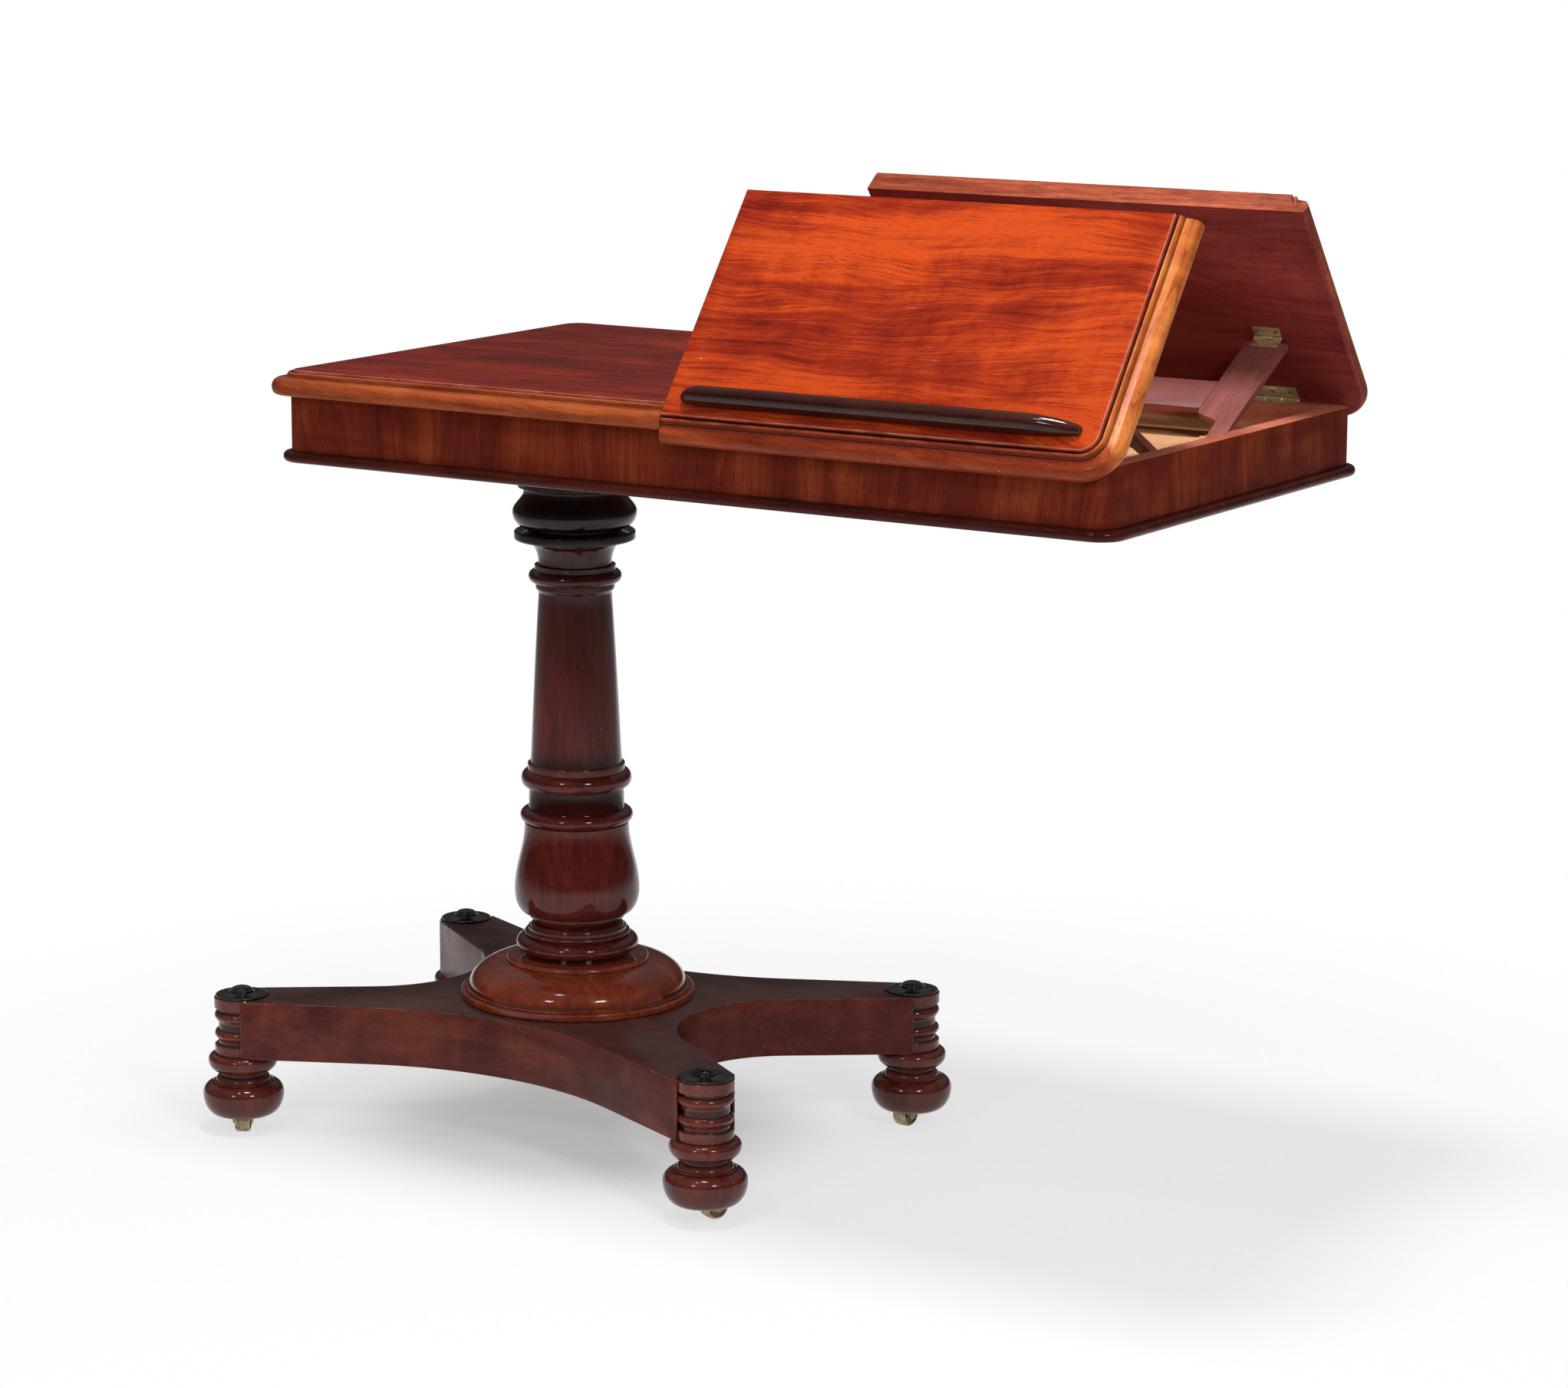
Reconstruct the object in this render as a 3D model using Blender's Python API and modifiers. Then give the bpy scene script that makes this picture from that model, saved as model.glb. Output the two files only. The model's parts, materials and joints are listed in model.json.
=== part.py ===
"""Pedestal reading table with a fixed leaf and two rising reading slopes.

A shallow box carries the leaf and the slopes. The slopes turn on butt hinges at the box's
outer edges and stand on folding props, whose feet drop into notched strips in the well.
The box stands on a turned column, a platform with hollow sides and four turned feet with
small brass castors let into them.

Units are metres and +Z is up. +X runs along the top, from the fixed leaf to the slopes.
The origin is on the floor, under the middle of the whole table.
"""

import math

import bmesh
import bpy

# Fits
SEAT_GAP = 0.0003
RIM_GAP = 0.0006
SEAM_GAP = 0.0010
HINGE_GAP = 0.0004
AXLE_GAP = 0.00015

# Box under the top
FRIEZE_LENGTH = 0.855
FRIEZE_DEPTH = 0.463
FRIEZE_HEIGHT = 0.0517
FRIEZE_CORNER = 0.017
RAIL_THICKNESS = 0.018
COLUMN_FROM_LEFT = 0.1617
BOTTOM_THICKNESS = 0.010
BOTTOM_PROJECTION = 0.008
BOTTOM_ROUND = 0.0046
CROSS_RAIL_THICKNESS = 0.022
WELL_DEPTH = 0.020
WELL_FLOOR_THICKNESS = 0.006

# Leaf and slopes
TOP_THICKNESS = 0.0217
TOP_OVERHANG = 0.018
RIGHT_OVERHANG = 0.0133
TOP_CORNER = 0.036
FIXED_LEAF_LENGTH = 0.443
SLOPE_ANGLE = math.radians(53.0)

# Moulded edge of the top: widths in from the nose and heights above the underside
NOSE_UNDERCUT = 0.0035
NOSE_HEIGHT = 0.0160
NOSE_ROUND = 0.0080
NOSE_WIDTH = 0.0130
FILLET_WIDTH = 0.0058
FILLET_DROP = 0.0020
FIELD_BAND = 0.0212

# Book ledges
LEDGE_LENGTH = 0.390
LEDGE_HEIGHT = 0.0125
LEDGE_THICKNESS = 0.013
LEDGE_RIGHT_RUN = 0.052
LEDGE_LEFT_RUN = 0.022
LEDGE_TIP = 0.0032
LEDGE_ROUND = 0.003
LEDGE_FROM_AXIS = 0.0195

# Slope hinges
HINGE_LENGTH = 0.050
HINGE_WIDTH = 0.0165
HINGE_THICKNESS = 0.0020
HINGE_BARREL = 0.0030
HINGE_PIN = 0.0014
HINGE_END_MARGIN = 0.036

# Props
PROP_PIVOT_UP = 0.0785
PROP_LENGTH = 0.146
PROP_THICKNESS = 0.006
PROP_LEG_WIDTH = 0.0405
PROP_FOOT_WIDTH = 0.017
PROP_FOOT_LENGTH = 0.021
PROP_OGEE = 0.015
PROP_RAIL_START = 0.066
PROP_RAIL_HEIGHT = 0.040
PROP_TIP = 0.0024
PROP_TIP_BEVEL = 0.009
PROP_END_MARGIN = 0.0255
PROP_TOP_START = 0.0035
PROP_UNFOLD = math.radians(82.6)

# Prop hinges
PROP_HINGE_LENGTH = 0.027
PROP_HINGE_WIDTH = 0.012
PROP_HINGE_THICKNESS = 0.0013
PROP_HINGE_BARREL = 0.0017
PROP_HINGE_PIN = 0.0008
PROP_HINGE_LIFT = 0.0004

# Notched strips
RATCHET_WIDTH = 0.036
RATCHET_OUTER_LAP = 0.004
RATCHET_PITCH = 0.0125
RATCHET_MOUTH = 0.008
RATCHET_DEPTH = 0.003
RATCHET_BITE = 0.0005
RATCHET_NOTCHES_IN = 2
RATCHET_NOTCHES_OUT = 6
RATCHET_END = 0.010

# Base
FOOT_SPAN_X = 0.5316
FOOT_SPAN_Y = 0.3638
PLATFORM_THICKNESS = 0.056
ARM_HALF_WIDTH = 0.029
FRONT_HOLLOW = 0.0825
FRONT_HOLLOW_RADIUS = 0.328
END_HOLLOW = 0.147
END_HOLLOW_RADIUS = 0.105

# Turned feet
BUN_CLEARANCE = 0.0160
BUN_RADIUS = 0.0388
BUN_RIM_RADIUS = 0.0245
BUN_LOWER = 0.0216
BUN_UPPER = 0.0104
BUN_FILLET_RADIUS = 0.0290
BUN_FILLET = 0.0020
FOOT_NECK_RADIUS = 0.0217
FOOT_NECK = 0.0095
COLLAR_RADIUS = 0.0332
COLLAR_HEIGHT = 0.0171
POST_RADIUS = 0.0265
POST_GROOVE_RADIUS = 0.0226

# Foot caps
CAP_RADIUS = 0.0250
CAP_RIM = 0.0024
CAP_RISE = 0.0040
CAP_BOSS_RADIUS = 0.0108
CAP_BOSS_HEIGHT = 0.0055

# Castors
WHEEL_RADIUS = 0.0125
WHEEL_WIDTH = 0.014
CASTOR_TRAIL = 0.009
AXLE_RADIUS = 0.0020
CHEEK_THICKNESS = 0.0018
CHEEK_WIDTH = 0.010
CHEEK_GAP = 0.0006
CROWN_RADIUS = 0.0125
CROWN_THICKNESS = 0.0024
CROWN_LIFT = 0.0010
STEM_RADIUS = 0.0038
STEM_LENGTH = 0.024
CASTOR_WELL_RADIUS = 0.0220
CASTOR_TURNS = {
    "front_left": math.radians(-58.0),
    "front_right": math.radians(66.0),
    "rear_left": math.radians(150.0),
    "rear_right": math.radians(-96.0),
}

# Column: heights of the turned members, from the platform up and from the bearer down
COLUMN_HEIGHT = 0.499
BASE_RING_RADIUS = 0.112
BASE_RING_HEIGHT = 0.010
DOME_RADIUS = 0.1043
DOME_HEIGHT = 0.0253
STEP_RADIUS = 0.0684
STEP_HEIGHT = 0.0045
LOW_BEAD_RADIUS = 0.0587
LOW_BEAD_HEIGHT = 0.0160
LOW_FILLET_HEIGHT = 0.0040
SMALL_BEAD_RADIUS = 0.0506
SMALL_BEAD_HEIGHT = 0.0045
LOW_NECK_RADIUS = 0.0405
LOW_NECK_HEIGHT = 0.0170
VASE_FOOT_RADIUS = 0.0475
VASE_RADIUS = 0.0598
VASE_SWELL = 0.0227
VASE_RISE = 0.0660
VASE_TOP_RADIUS = 0.0495
VASE_RING_RADIUS = 0.0539
VASE_RING_HEIGHT = 0.0130
DRUM_RADIUS = 0.0455
DRUM_HEIGHT = 0.0210
MIDDLE_BEAD_RADIUS = 0.0527
MIDDLE_BEAD_HEIGHT = 0.0165
SHAFT_FILLET_RADIUS = 0.0464
SHAFT_FILLET_HEIGHT = 0.0060
SHAFT_FOOT_RADIUS = 0.0434
SHAFT_TOP_RADIUS = 0.0348
NECK_FILLET_RADIUS = 0.0374
NECK_FILLET_HEIGHT = 0.0048
NECK_BEAD_RADIUS = 0.0442
NECK_BEAD_HEIGHT = 0.0125
CAVETTO_FOOT_RADIUS = 0.0345
CAVETTO_TOP_RADIUS = 0.0480
CAVETTO_HEIGHT = 0.0240
DISC_RADIUS = 0.0575
DISC_HEIGHT = 0.0090
CAPITAL_NECK_RADIUS = 0.0446
CAPITAL_NECK_HEIGHT = 0.0030
CAPITAL_BUN_RADIUS = 0.0589
CAPITAL_BUN_HEIGHT = 0.0145
CAPITAL_SHOULDER_HEIGHT = 0.0200
CAPITAL_TOP_NECK_RADIUS = 0.0482
CAPITAL_TOP_NECK_HEIGHT = 0.0040
FLANGE_RADIUS = 0.0537
FLANGE_HEIGHT = 0.0060
LOWER_TENON_RADIUS = 0.022
UPPER_TENON_RADIUS = 0.018

# Bearer between the column and the box
BEARER_LENGTH = 0.270
BEARER_WIDTH = 0.100
BEARER_THICKNESS = 0.032

# Facets round a turn
COLUMN_STEPS = 24
FOOT_STEPS = 16
SMALL_STEPS = 14
BARREL_STEPS = 8
CORNER_POINTS = 5

# Heights that follow from the sizes above
PLATFORM_BOTTOM = BUN_CLEARANCE + BUN_LOWER + BUN_UPPER + BUN_FILLET + FOOT_NECK + COLLAR_HEIGHT
PLATFORM_TOP = PLATFORM_BOTTOM + PLATFORM_THICKNESS
BEARER_BOTTOM = PLATFORM_TOP + COLUMN_HEIGHT
BOARD_BOTTOM = BEARER_BOTTOM + BEARER_THICKNESS + SEAT_GAP
FRIEZE_BOTTOM = BOARD_BOTTOM + BOTTOM_THICKNESS + SEAT_GAP
RIM = FRIEZE_BOTTOM + FRIEZE_HEIGHT
TOP_BOTTOM = RIM + RIM_GAP

# Places that follow from the sizes above
LEFT_REACH = max(FOOT_SPAN_X / 2 + BUN_RADIUS, COLUMN_FROM_LEFT + TOP_OVERHANG)
RIGHT_REACH = max(FOOT_SPAN_X / 2 + BUN_RADIUS, FRIEZE_LENGTH - COLUMN_FROM_LEFT + RIGHT_OVERHANG)
COLUMN_X = (LEFT_REACH - RIGHT_REACH) / 2
FRIEZE_LEFT = COLUMN_X - COLUMN_FROM_LEFT
FRIEZE_RIGHT = FRIEZE_LEFT + FRIEZE_LENGTH
TOP_LEFT = FRIEZE_LEFT - TOP_OVERHANG
TOP_RIGHT = FRIEZE_RIGHT + RIGHT_OVERHANG
TOP_HALF_DEPTH = FRIEZE_DEPTH / 2 + TOP_OVERHANG
SEAM_X = TOP_LEFT + FIXED_LEAF_LENGTH
INNER_HALF_DEPTH = FRIEZE_DEPTH / 2 - RAIL_THICKNESS
WELL_LEFT = SEAM_X + CROSS_RAIL_THICKNESS / 2
WELL_RIGHT = FRIEZE_RIGHT - RAIL_THICKNESS
WELL_X = (WELL_LEFT + WELL_RIGHT) / 2
WELL_FLOOR = RIM - WELL_DEPTH
AXIS_Y = FRIEZE_DEPTH / 2
AXIS_Z = RIM + RIM_GAP / 2
HINGE_LIFT = RIM_GAP / 2
HINGE_X = (WELL_RIGHT - WELL_LEFT) / 2 - HINGE_END_MARGIN - HINGE_LENGTH / 2
PROP_OUTER_X = (WELL_RIGHT - WELL_LEFT) / 2 - PROP_END_MARGIN
PROP_DROP = PROP_HINGE_LIFT + PROP_HINGE_THICKNESS + SEAT_GAP
PIVOT_BELOW = RIM_GAP / 2 - PROP_DROP
CASTOR_WELL_TOP = 2 * WHEEL_RADIUS + CROWN_LIFT + CROWN_THICKNESS + SEAT_GAP

SIDES = {"front": -1, "rear": 1}
HANDS = {"left": -1, "right": 1}

# Base colour, roughness and metallic value of each finish
FINISHES = {
    "slope_mahogany": ((0.36, 0.075, 0.018), 0.22, 0.0),
    "leaf_mahogany": ((0.20, 0.040, 0.018), 0.22, 0.0),
    "frieze_mahogany": ((0.16, 0.030, 0.015), 0.28, 0.0),
    "column_mahogany": ((0.070, 0.014, 0.010), 0.16, 0.0),
    "platform_mahogany": ((0.085, 0.026, 0.018), 0.32, 0.0),
    "ebonised_wood": ((0.008, 0.006, 0.006), 0.14, 0.0),
    "prop_wood": ((0.17, 0.055, 0.050), 0.45, 0.0),
    "carcase_wood": ((0.16, 0.045, 0.022), 0.50, 0.0),
    "pale_wood": ((0.58, 0.30, 0.13), 0.50, 0.0),
    "brass": ((0.42, 0.31, 0.13), 0.38, 1.0),
}


def clear_scene():
    for thing in list(bpy.data.objects):
        bpy.data.objects.remove(thing, do_unlink=True)


def new_collection(name):
    collection = bpy.data.collections.new(name)
    bpy.context.scene.collection.children.link(collection)
    return collection


clear_scene()
PARTS = new_collection("reading_table")
CUTTERS = new_collection("cutters")


def finish_material(name):
    """The material of one finish, made the first time that it is asked for."""
    material = bpy.data.materials.get(name)
    if material:
        return material
    colour, roughness, metallic = FINISHES[name]
    material = bpy.data.materials.new(name)
    material.use_nodes = True
    shader = material.node_tree.nodes["Principled BSDF"]
    shader.inputs["Base Color"].default_value = (*colour, 1.0)
    shader.inputs["Roughness"].default_value = roughness
    shader.inputs["Metallic"].default_value = metallic
    material.diffuse_color = (*colour, 1.0)
    return material


def new_part(name, mesh, finish, parent=None, location=(0, 0, 0), turn=(0, 0, 0)):
    """A sub-part from a mesh, placed under its parent."""
    part = bpy.data.objects.new(name, mesh)
    if finish and not mesh.materials:
        mesh.materials.append(finish_material(finish))
    part.parent = parent
    part.location = location
    part.rotation_euler = turn
    PARTS.objects.link(part)
    return part


def new_cutter(name, mesh, parent=None, location=(0, 0, 0), turn=(0, 0, 0)):
    """A hidden shape that is taken from a part, or joined to it."""
    cutter = bpy.data.objects.new(name, mesh)
    cutter.parent = parent
    cutter.location = location
    cutter.rotation_euler = turn
    cutter.hide_render = True
    cutter.display_type = "WIRE"
    CUTTERS.objects.link(cutter)
    return cutter


def new_empty(name, parent=None, location=(0, 0, 0), turn=(0, 0, 0)):
    empty = bpy.data.objects.new(name, None)
    empty.empty_display_size = 0.02
    empty.parent = parent
    empty.location = location
    empty.rotation_euler = turn
    PARTS.objects.link(empty)
    return empty


def combine(part, cutter, operation="DIFFERENCE"):
    boolean = part.modifiers.new(cutter.name, "BOOLEAN")
    boolean.operation = operation
    boolean.solver = "EXACT"
    boolean.object = cutter


def settled_mesh(thing, name):
    """The evaluated mesh of an object, welded, as a mesh of its own."""
    bpy.context.view_layer.update()
    graph = bpy.context.evaluated_depsgraph_get()
    mesh = bpy.data.meshes.new_from_object(thing.evaluated_get(graph))
    mesh.name = name
    shape = bmesh.new()
    shape.from_mesh(mesh)
    bmesh.ops.remove_doubles(shape, verts=shape.verts, dist=0.00001)
    bmesh.ops.recalc_face_normals(shape, faces=shape.faces)
    shape.to_mesh(mesh)
    shape.free()
    return mesh


def block_mesh(name, low, high):
    """A box from its lowest to its highest corner."""
    shape = bmesh.new()
    bmesh.ops.create_cube(shape, size=1.0)
    size = [b - a for a, b in zip(low, high)]
    middle = [(a + b) / 2 for a, b in zip(low, high)]
    bmesh.ops.scale(shape, vec=size, verts=shape.verts)
    bmesh.ops.translate(shape, vec=middle, verts=shape.verts)
    mesh = bpy.data.meshes.new(name)
    shape.to_mesh(mesh)
    shape.free()
    return mesh


def rod_mesh(name, radius, start, end, steps, along="Z"):
    """A cylinder on the local axis named, from start to end."""
    shape = bmesh.new()
    bmesh.ops.create_cone(
        shape,
        cap_ends=True,
        segments=steps,
        radius1=radius,
        radius2=radius,
        depth=end - start,
    )
    bmesh.ops.translate(shape, vec=(0, 0, (start + end) / 2), verts=shape.verts)
    mesh = bpy.data.meshes.new(name)
    shape.to_mesh(mesh)
    shape.free()
    turns = {"X": (0, math.pi / 2, 0), "Y": (-math.pi / 2, 0, 0), "Z": (0, 0, 0)}
    holder = bpy.data.objects.new(name, mesh)
    holder.rotation_euler = turns[along]
    mesh.transform(holder.matrix_basis)
    bpy.data.objects.remove(holder)
    return mesh


def joined_mesh(name, meshes, hole=None):
    """One solid from several that overlap, less a hole."""
    whole = new_cutter(name + "_whole", meshes[0])
    helpers = [whole]
    for mesh in meshes[1:]:
        helpers.append(new_cutter(name + "_piece", mesh))
        combine(whole, helpers[-1], "UNION")
    if hole:
        helpers.append(new_cutter(name + "_hole", hole))
        combine(whole, helpers[-1])
    result = settled_mesh(whole, name)
    for helper in helpers:
        bpy.data.objects.remove(helper, do_unlink=True)
    return result


def arc(centre, radius, start, end, count):
    """Points on a circle from one angle to another, in degrees, both ends included."""
    angles = [math.radians(start + (end - start) * i / count) for i in range(count + 1)]
    return [(centre[0] + radius * math.cos(a), centre[1] + radius * math.sin(a)) for a in angles]


def rectangle(low, high, radii):
    """A rectangle's outline, anticlockwise from its low corner, with a radius for each corner."""
    corners = [low, (high[0], low[1]), high, (low[0], high[1])]
    inwards = [(1, 1), (-1, 1), (-1, -1), (1, -1)]
    outline = []
    for i, (corner, inward, radius) in enumerate(zip(corners, inwards, radii)):
        if radius:
            centre = (corner[0] + inward[0] * radius, corner[1] + inward[1] * radius)
            outline += arc(centre, radius, 180 + 90 * i, 270 + 90 * i, CORNER_POINTS)
        else:
            outline.append(corner)
    return outline


def plate_mesh(name, outline, thickness, rounding=0.0):
    """A flat outline with a thickness, its edges rounded where asked, about its middle plane."""
    curve = bpy.data.curves.new(name, "CURVE")
    curve.dimensions = "2D"
    curve.fill_mode = "BOTH"
    curve.extrude = thickness / 2 - rounding
    curve.bevel_depth = rounding
    curve.bevel_resolution = 1
    curve.offset = -rounding
    spline = curve.splines.new("POLY")
    spline.points.add(len(outline) - 1)
    for point, (x, y) in zip(spline.points, outline):
        point.co = (x, y, 0, 1)
    spline.use_cyclic_u = True
    holder = bpy.data.objects.new(name, curve)
    CUTTERS.objects.link(holder)
    mesh = settled_mesh(holder, name)
    bpy.data.objects.remove(holder, do_unlink=True)
    return mesh


# Turns that lay a flat outline's plane into another plane, its thickness along the third axis
PLANE_YZ = (math.pi / 2, 0, math.pi / 2)
PLANE_XZ = (math.pi / 2, 0, 0)


def ring_bead(core, peak, top, bottom, count=4):
    """A half-round ring on a turned piece, from top to bottom."""
    middle = (top + bottom) / 2
    half = (top - bottom) / 2
    angles = [math.pi * i / count for i in range(count + 1)]
    return [(core + (peak - core) * math.sin(a), middle + half * math.cos(a)) for a in angles]


def round_out(start, end, count=4):
    """A quarter ellipse that leaves start level and reaches end upright."""
    angles = [math.pi / 2 * i / count for i in range(count + 1)]
    wide, tall = end[0] - start[0], end[1] - start[1]
    return [(start[0] + wide * math.sin(a), start[1] + tall * (1 - math.cos(a))) for a in angles]


def round_in(start, end, count=4):
    """A quarter ellipse that leaves start upright and reaches end level."""
    angles = [math.pi / 2 * i / count for i in range(count + 1)]
    wide, tall = end[0] - start[0], end[1] - start[1]
    return [(start[0] + wide * (1 - math.cos(a)), start[1] + tall * math.sin(a)) for a in angles]


def ease(start, end, count=5):
    """A long double curve, upright at both ends."""
    steps = [i / count for i in range(count + 1)]
    wide, tall = end[0] - start[0], end[1] - start[1]
    return [(start[0] + wide * (1 - math.cos(math.pi * s)) / 2, start[1] + tall * s) for s in steps]


def turned_part(name, profile, finish, steps, parent=None, location=(0, 0, 0), turn=(0, 0, 0), ring=False):
    """A turned piece: a profile of radii and heights that runs down its outer side."""
    points = [profile[0]]
    for point in profile[1:]:
        if math.dist(point, points[-1]) > 0.00005:
            points.append(point)
    edges = [(i, i + 1) for i in range(len(points) - 1)]
    if ring:
        edges.append((len(points) - 1, 0))
    mesh = bpy.data.meshes.new(name)
    mesh.from_pydata([(radius, 0, height) for radius, height in points], edges, [])
    part = new_part(name, mesh, finish, parent, location, turn)
    screw = part.modifiers.new("turning", "SCREW")
    screw.axis = "Z"
    screw.steps = steps
    screw.render_steps = steps
    screw.use_merge_vertices = True
    screw.merge_threshold = 0.00005
    return part


# Platform and feet


def foot_places():
    """Name and place of each foot."""
    for side, y in SIDES.items():
        for hand, x in HANDS.items():
            yield f"{side}_{hand}", (COLUMN_X + x * FOOT_SPAN_X / 2, y * FOOT_SPAN_Y / 2)


def hollow_side(start, end, sagitta, radius):
    """The inner points of a hollow side that bows to the left of its travel: straight, a round, straight."""
    wide, tall = end[0] - start[0], end[1] - start[1]
    chord = math.hypot(wide, tall)
    away = math.hypot(chord / 2, radius - sagitta)
    half_angle = math.degrees(math.atan2(chord / 2, radius - sagitta) - math.acos(radius / away))
    left = (-tall / chord, wide / chord)
    middle = ((start[0] + end[0]) / 2, (start[1] + end[1]) / 2)
    centre = [m + n * (sagitta - radius) for m, n in zip(middle, left)]
    facing = math.degrees(math.atan2(left[1], left[0]))
    return arc(centre, radius, facing + half_angle, facing - half_angle, 2 * CORNER_POINTS)


def platform_outline():
    """Four arms on the diagonals, each cut off through its foot's axis, with hollow sides."""
    half_x, half_y = FOOT_SPAN_X / 2, FOOT_SPAN_Y / 2
    reach = math.hypot(half_x, half_y)
    across = (ARM_HALF_WIDTH * half_y / reach, ARM_HALF_WIDTH * half_x / reach)
    ends = []
    for sign_x, sign_y in ((-1, -1), (1, -1), (1, 1), (-1, 1)):
        long_corner = (sign_x * (half_x - across[0]), sign_y * (half_y + across[1]))
        short_corner = (sign_x * (half_x + across[0]), sign_y * (half_y - across[1]))
        turned_first = sign_x * sign_y > 0
        ends.append((short_corner, long_corner) if turned_first else (long_corner, short_corner))
    outline = []
    for i, (first, last) in enumerate(ends):
        hollow = (FRONT_HOLLOW, FRONT_HOLLOW_RADIUS) if i % 2 == 0 else (END_HOLLOW, END_HOLLOW_RADIUS)
        following = ends[(i + 1) % 4][0]
        outline += [first, last] + hollow_side(last, following, *hollow)
    return [(COLUMN_X + x, y) for x, y in outline]


def build_platform():
    mesh = plate_mesh("platform", platform_outline(), PLATFORM_THICKNESS)
    middle = (PLATFORM_TOP + PLATFORM_BOTTOM) / 2
    platform = new_part("platform", mesh, "platform_mahogany", location=(0, 0, middle))
    reach = PLATFORM_THICKNESS
    for name, (x, y) in foot_places():
        seat = rod_mesh("post_seat", POST_RADIUS + SEAT_GAP, -reach, reach, FOOT_STEPS)
        combine(platform, new_cutter(f"post_seat_{name}", seat, location=(x, y, middle)))
    mortice = rod_mesh("column_mortice", LOWER_TENON_RADIUS + SEAT_GAP, -reach, reach, COLUMN_STEPS)
    combine(platform, new_cutter("column_mortice", mortice, location=(COLUMN_X, 0, middle)))


def foot_profile():
    """Post, collar, neck and bun, hollowed underneath for the castor and bored for its stem."""
    share = PLATFORM_THICKNESS / 10
    top = PLATFORM_TOP
    groove = POST_GROOVE_RADIUS
    collar_top = PLATFORM_BOTTOM
    neck_top = collar_top - COLLAR_HEIGHT
    fillet_top = neck_top - FOOT_NECK
    bun_top = fillet_top - BUN_FILLET
    bun_middle = bun_top - BUN_UPPER
    profile = [(0, top), (POST_RADIUS, top), (POST_RADIUS, top - 1.7 * share)]
    profile += ring_bead(groove, POST_RADIUS, top - 2.2 * share, top - 4.4 * share, 3)
    profile += ring_bead(groove, POST_RADIUS, top - 5.4 * share, top - 7.6 * share, 3)
    profile += [(groove, top - 8.1 * share), (POST_RADIUS, top - 8.4 * share)]
    profile += ring_bead(POST_RADIUS, COLLAR_RADIUS, collar_top, neck_top)
    neck_bottom = (BUN_FILLET_RADIUS, fillet_top)
    profile += [(FOOT_NECK_RADIUS + 0.0015, neck_top), (FOOT_NECK_RADIUS, neck_top - 0.0015)]
    profile += round_in((FOOT_NECK_RADIUS, neck_top - FOOT_NECK / 2), neck_bottom, 3)
    profile += round_out((BUN_FILLET_RADIUS, bun_top), (BUN_RADIUS, bun_middle), 3)
    profile += round_in((BUN_RADIUS, bun_middle), (BUN_RIM_RADIUS, BUN_CLEARANCE))[1:]
    stem = STEM_RADIUS + SEAT_GAP
    stem_top = CASTOR_WELL_TOP + STEM_LENGTH + SEAT_GAP
    profile += [(CASTOR_WELL_RADIUS, BUN_CLEARANCE), (CASTOR_WELL_RADIUS, CASTOR_WELL_TOP)]
    return profile + [(stem, CASTOR_WELL_TOP), (stem, stem_top), (0, stem_top)]


def cap_profile():
    """A thin disc that rises to a domed boss."""
    bottom = PLATFORM_TOP + SEAT_GAP
    shoulder = bottom + CAP_RISE
    boss_top = shoulder + CAP_BOSS_HEIGHT
    profile = round_out((0, boss_top), (CAP_BOSS_RADIUS, shoulder + CAP_BOSS_HEIGHT / 4))
    profile += [(CAP_BOSS_RADIUS, shoulder), (CAP_RADIUS - CAP_RIM, bottom + CAP_RIM)]
    return profile + [(CAP_RADIUS, bottom + CAP_RIM / 2), (CAP_RADIUS, bottom), (0, bottom)]


def wheel_profile():
    """A castor wheel with eased edges, bored for its axle, along its own axis."""
    half = WHEEL_WIDTH / 2
    eased = 0.9 * WHEEL_RADIUS
    bore = AXLE_RADIUS + AXLE_GAP
    outside = [(bore, half), (eased, half), (WHEEL_RADIUS, half / 2)]
    return outside + [(WHEEL_RADIUS, -half / 2), (eased, -half), (bore, -half)]


def fork_mesh():
    """Stem, crown, two cheeks and the riveted axle, with the castor trailing along local +X."""
    inner = WHEEL_WIDTH / 2 + CHEEK_GAP
    outer = inner + CHEEK_THICKNESS
    crown_bottom = CASTOR_WELL_TOP - SEAT_GAP - CROWN_THICKNESS
    crown_middle = crown_bottom + CROWN_THICKNESS / 2
    crown_top = crown_bottom + CROWN_THICKNESS
    pieces = [rod_mesh("crown", CROWN_RADIUS, crown_bottom, crown_top, SMALL_STEPS)]
    for low, high in ((inner, outer), (-outer, -inner)):
        start = (CASTOR_TRAIL - CHEEK_WIDTH / 2, low, WHEEL_RADIUS - CHEEK_WIDTH / 2)
        end = (CASTOR_TRAIL + CHEEK_WIDTH / 2, high, crown_middle)
        pieces.append(block_mesh("cheek", start, end))
    axle = rod_mesh("axle", AXLE_RADIUS, -outer - CHEEK_GAP, outer + CHEEK_GAP, BARREL_STEPS, "Y")
    for vertex in axle.vertices:
        vertex.co.x += CASTOR_TRAIL
        vertex.co.z += WHEEL_RADIUS
    pieces.append(axle)
    stem_top = CASTOR_WELL_TOP + STEM_LENGTH
    pieces.append(rod_mesh("stem", STEM_RADIUS, crown_middle, stem_top, BARREL_STEPS))
    return joined_mesh("castor_fork", pieces)


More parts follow.
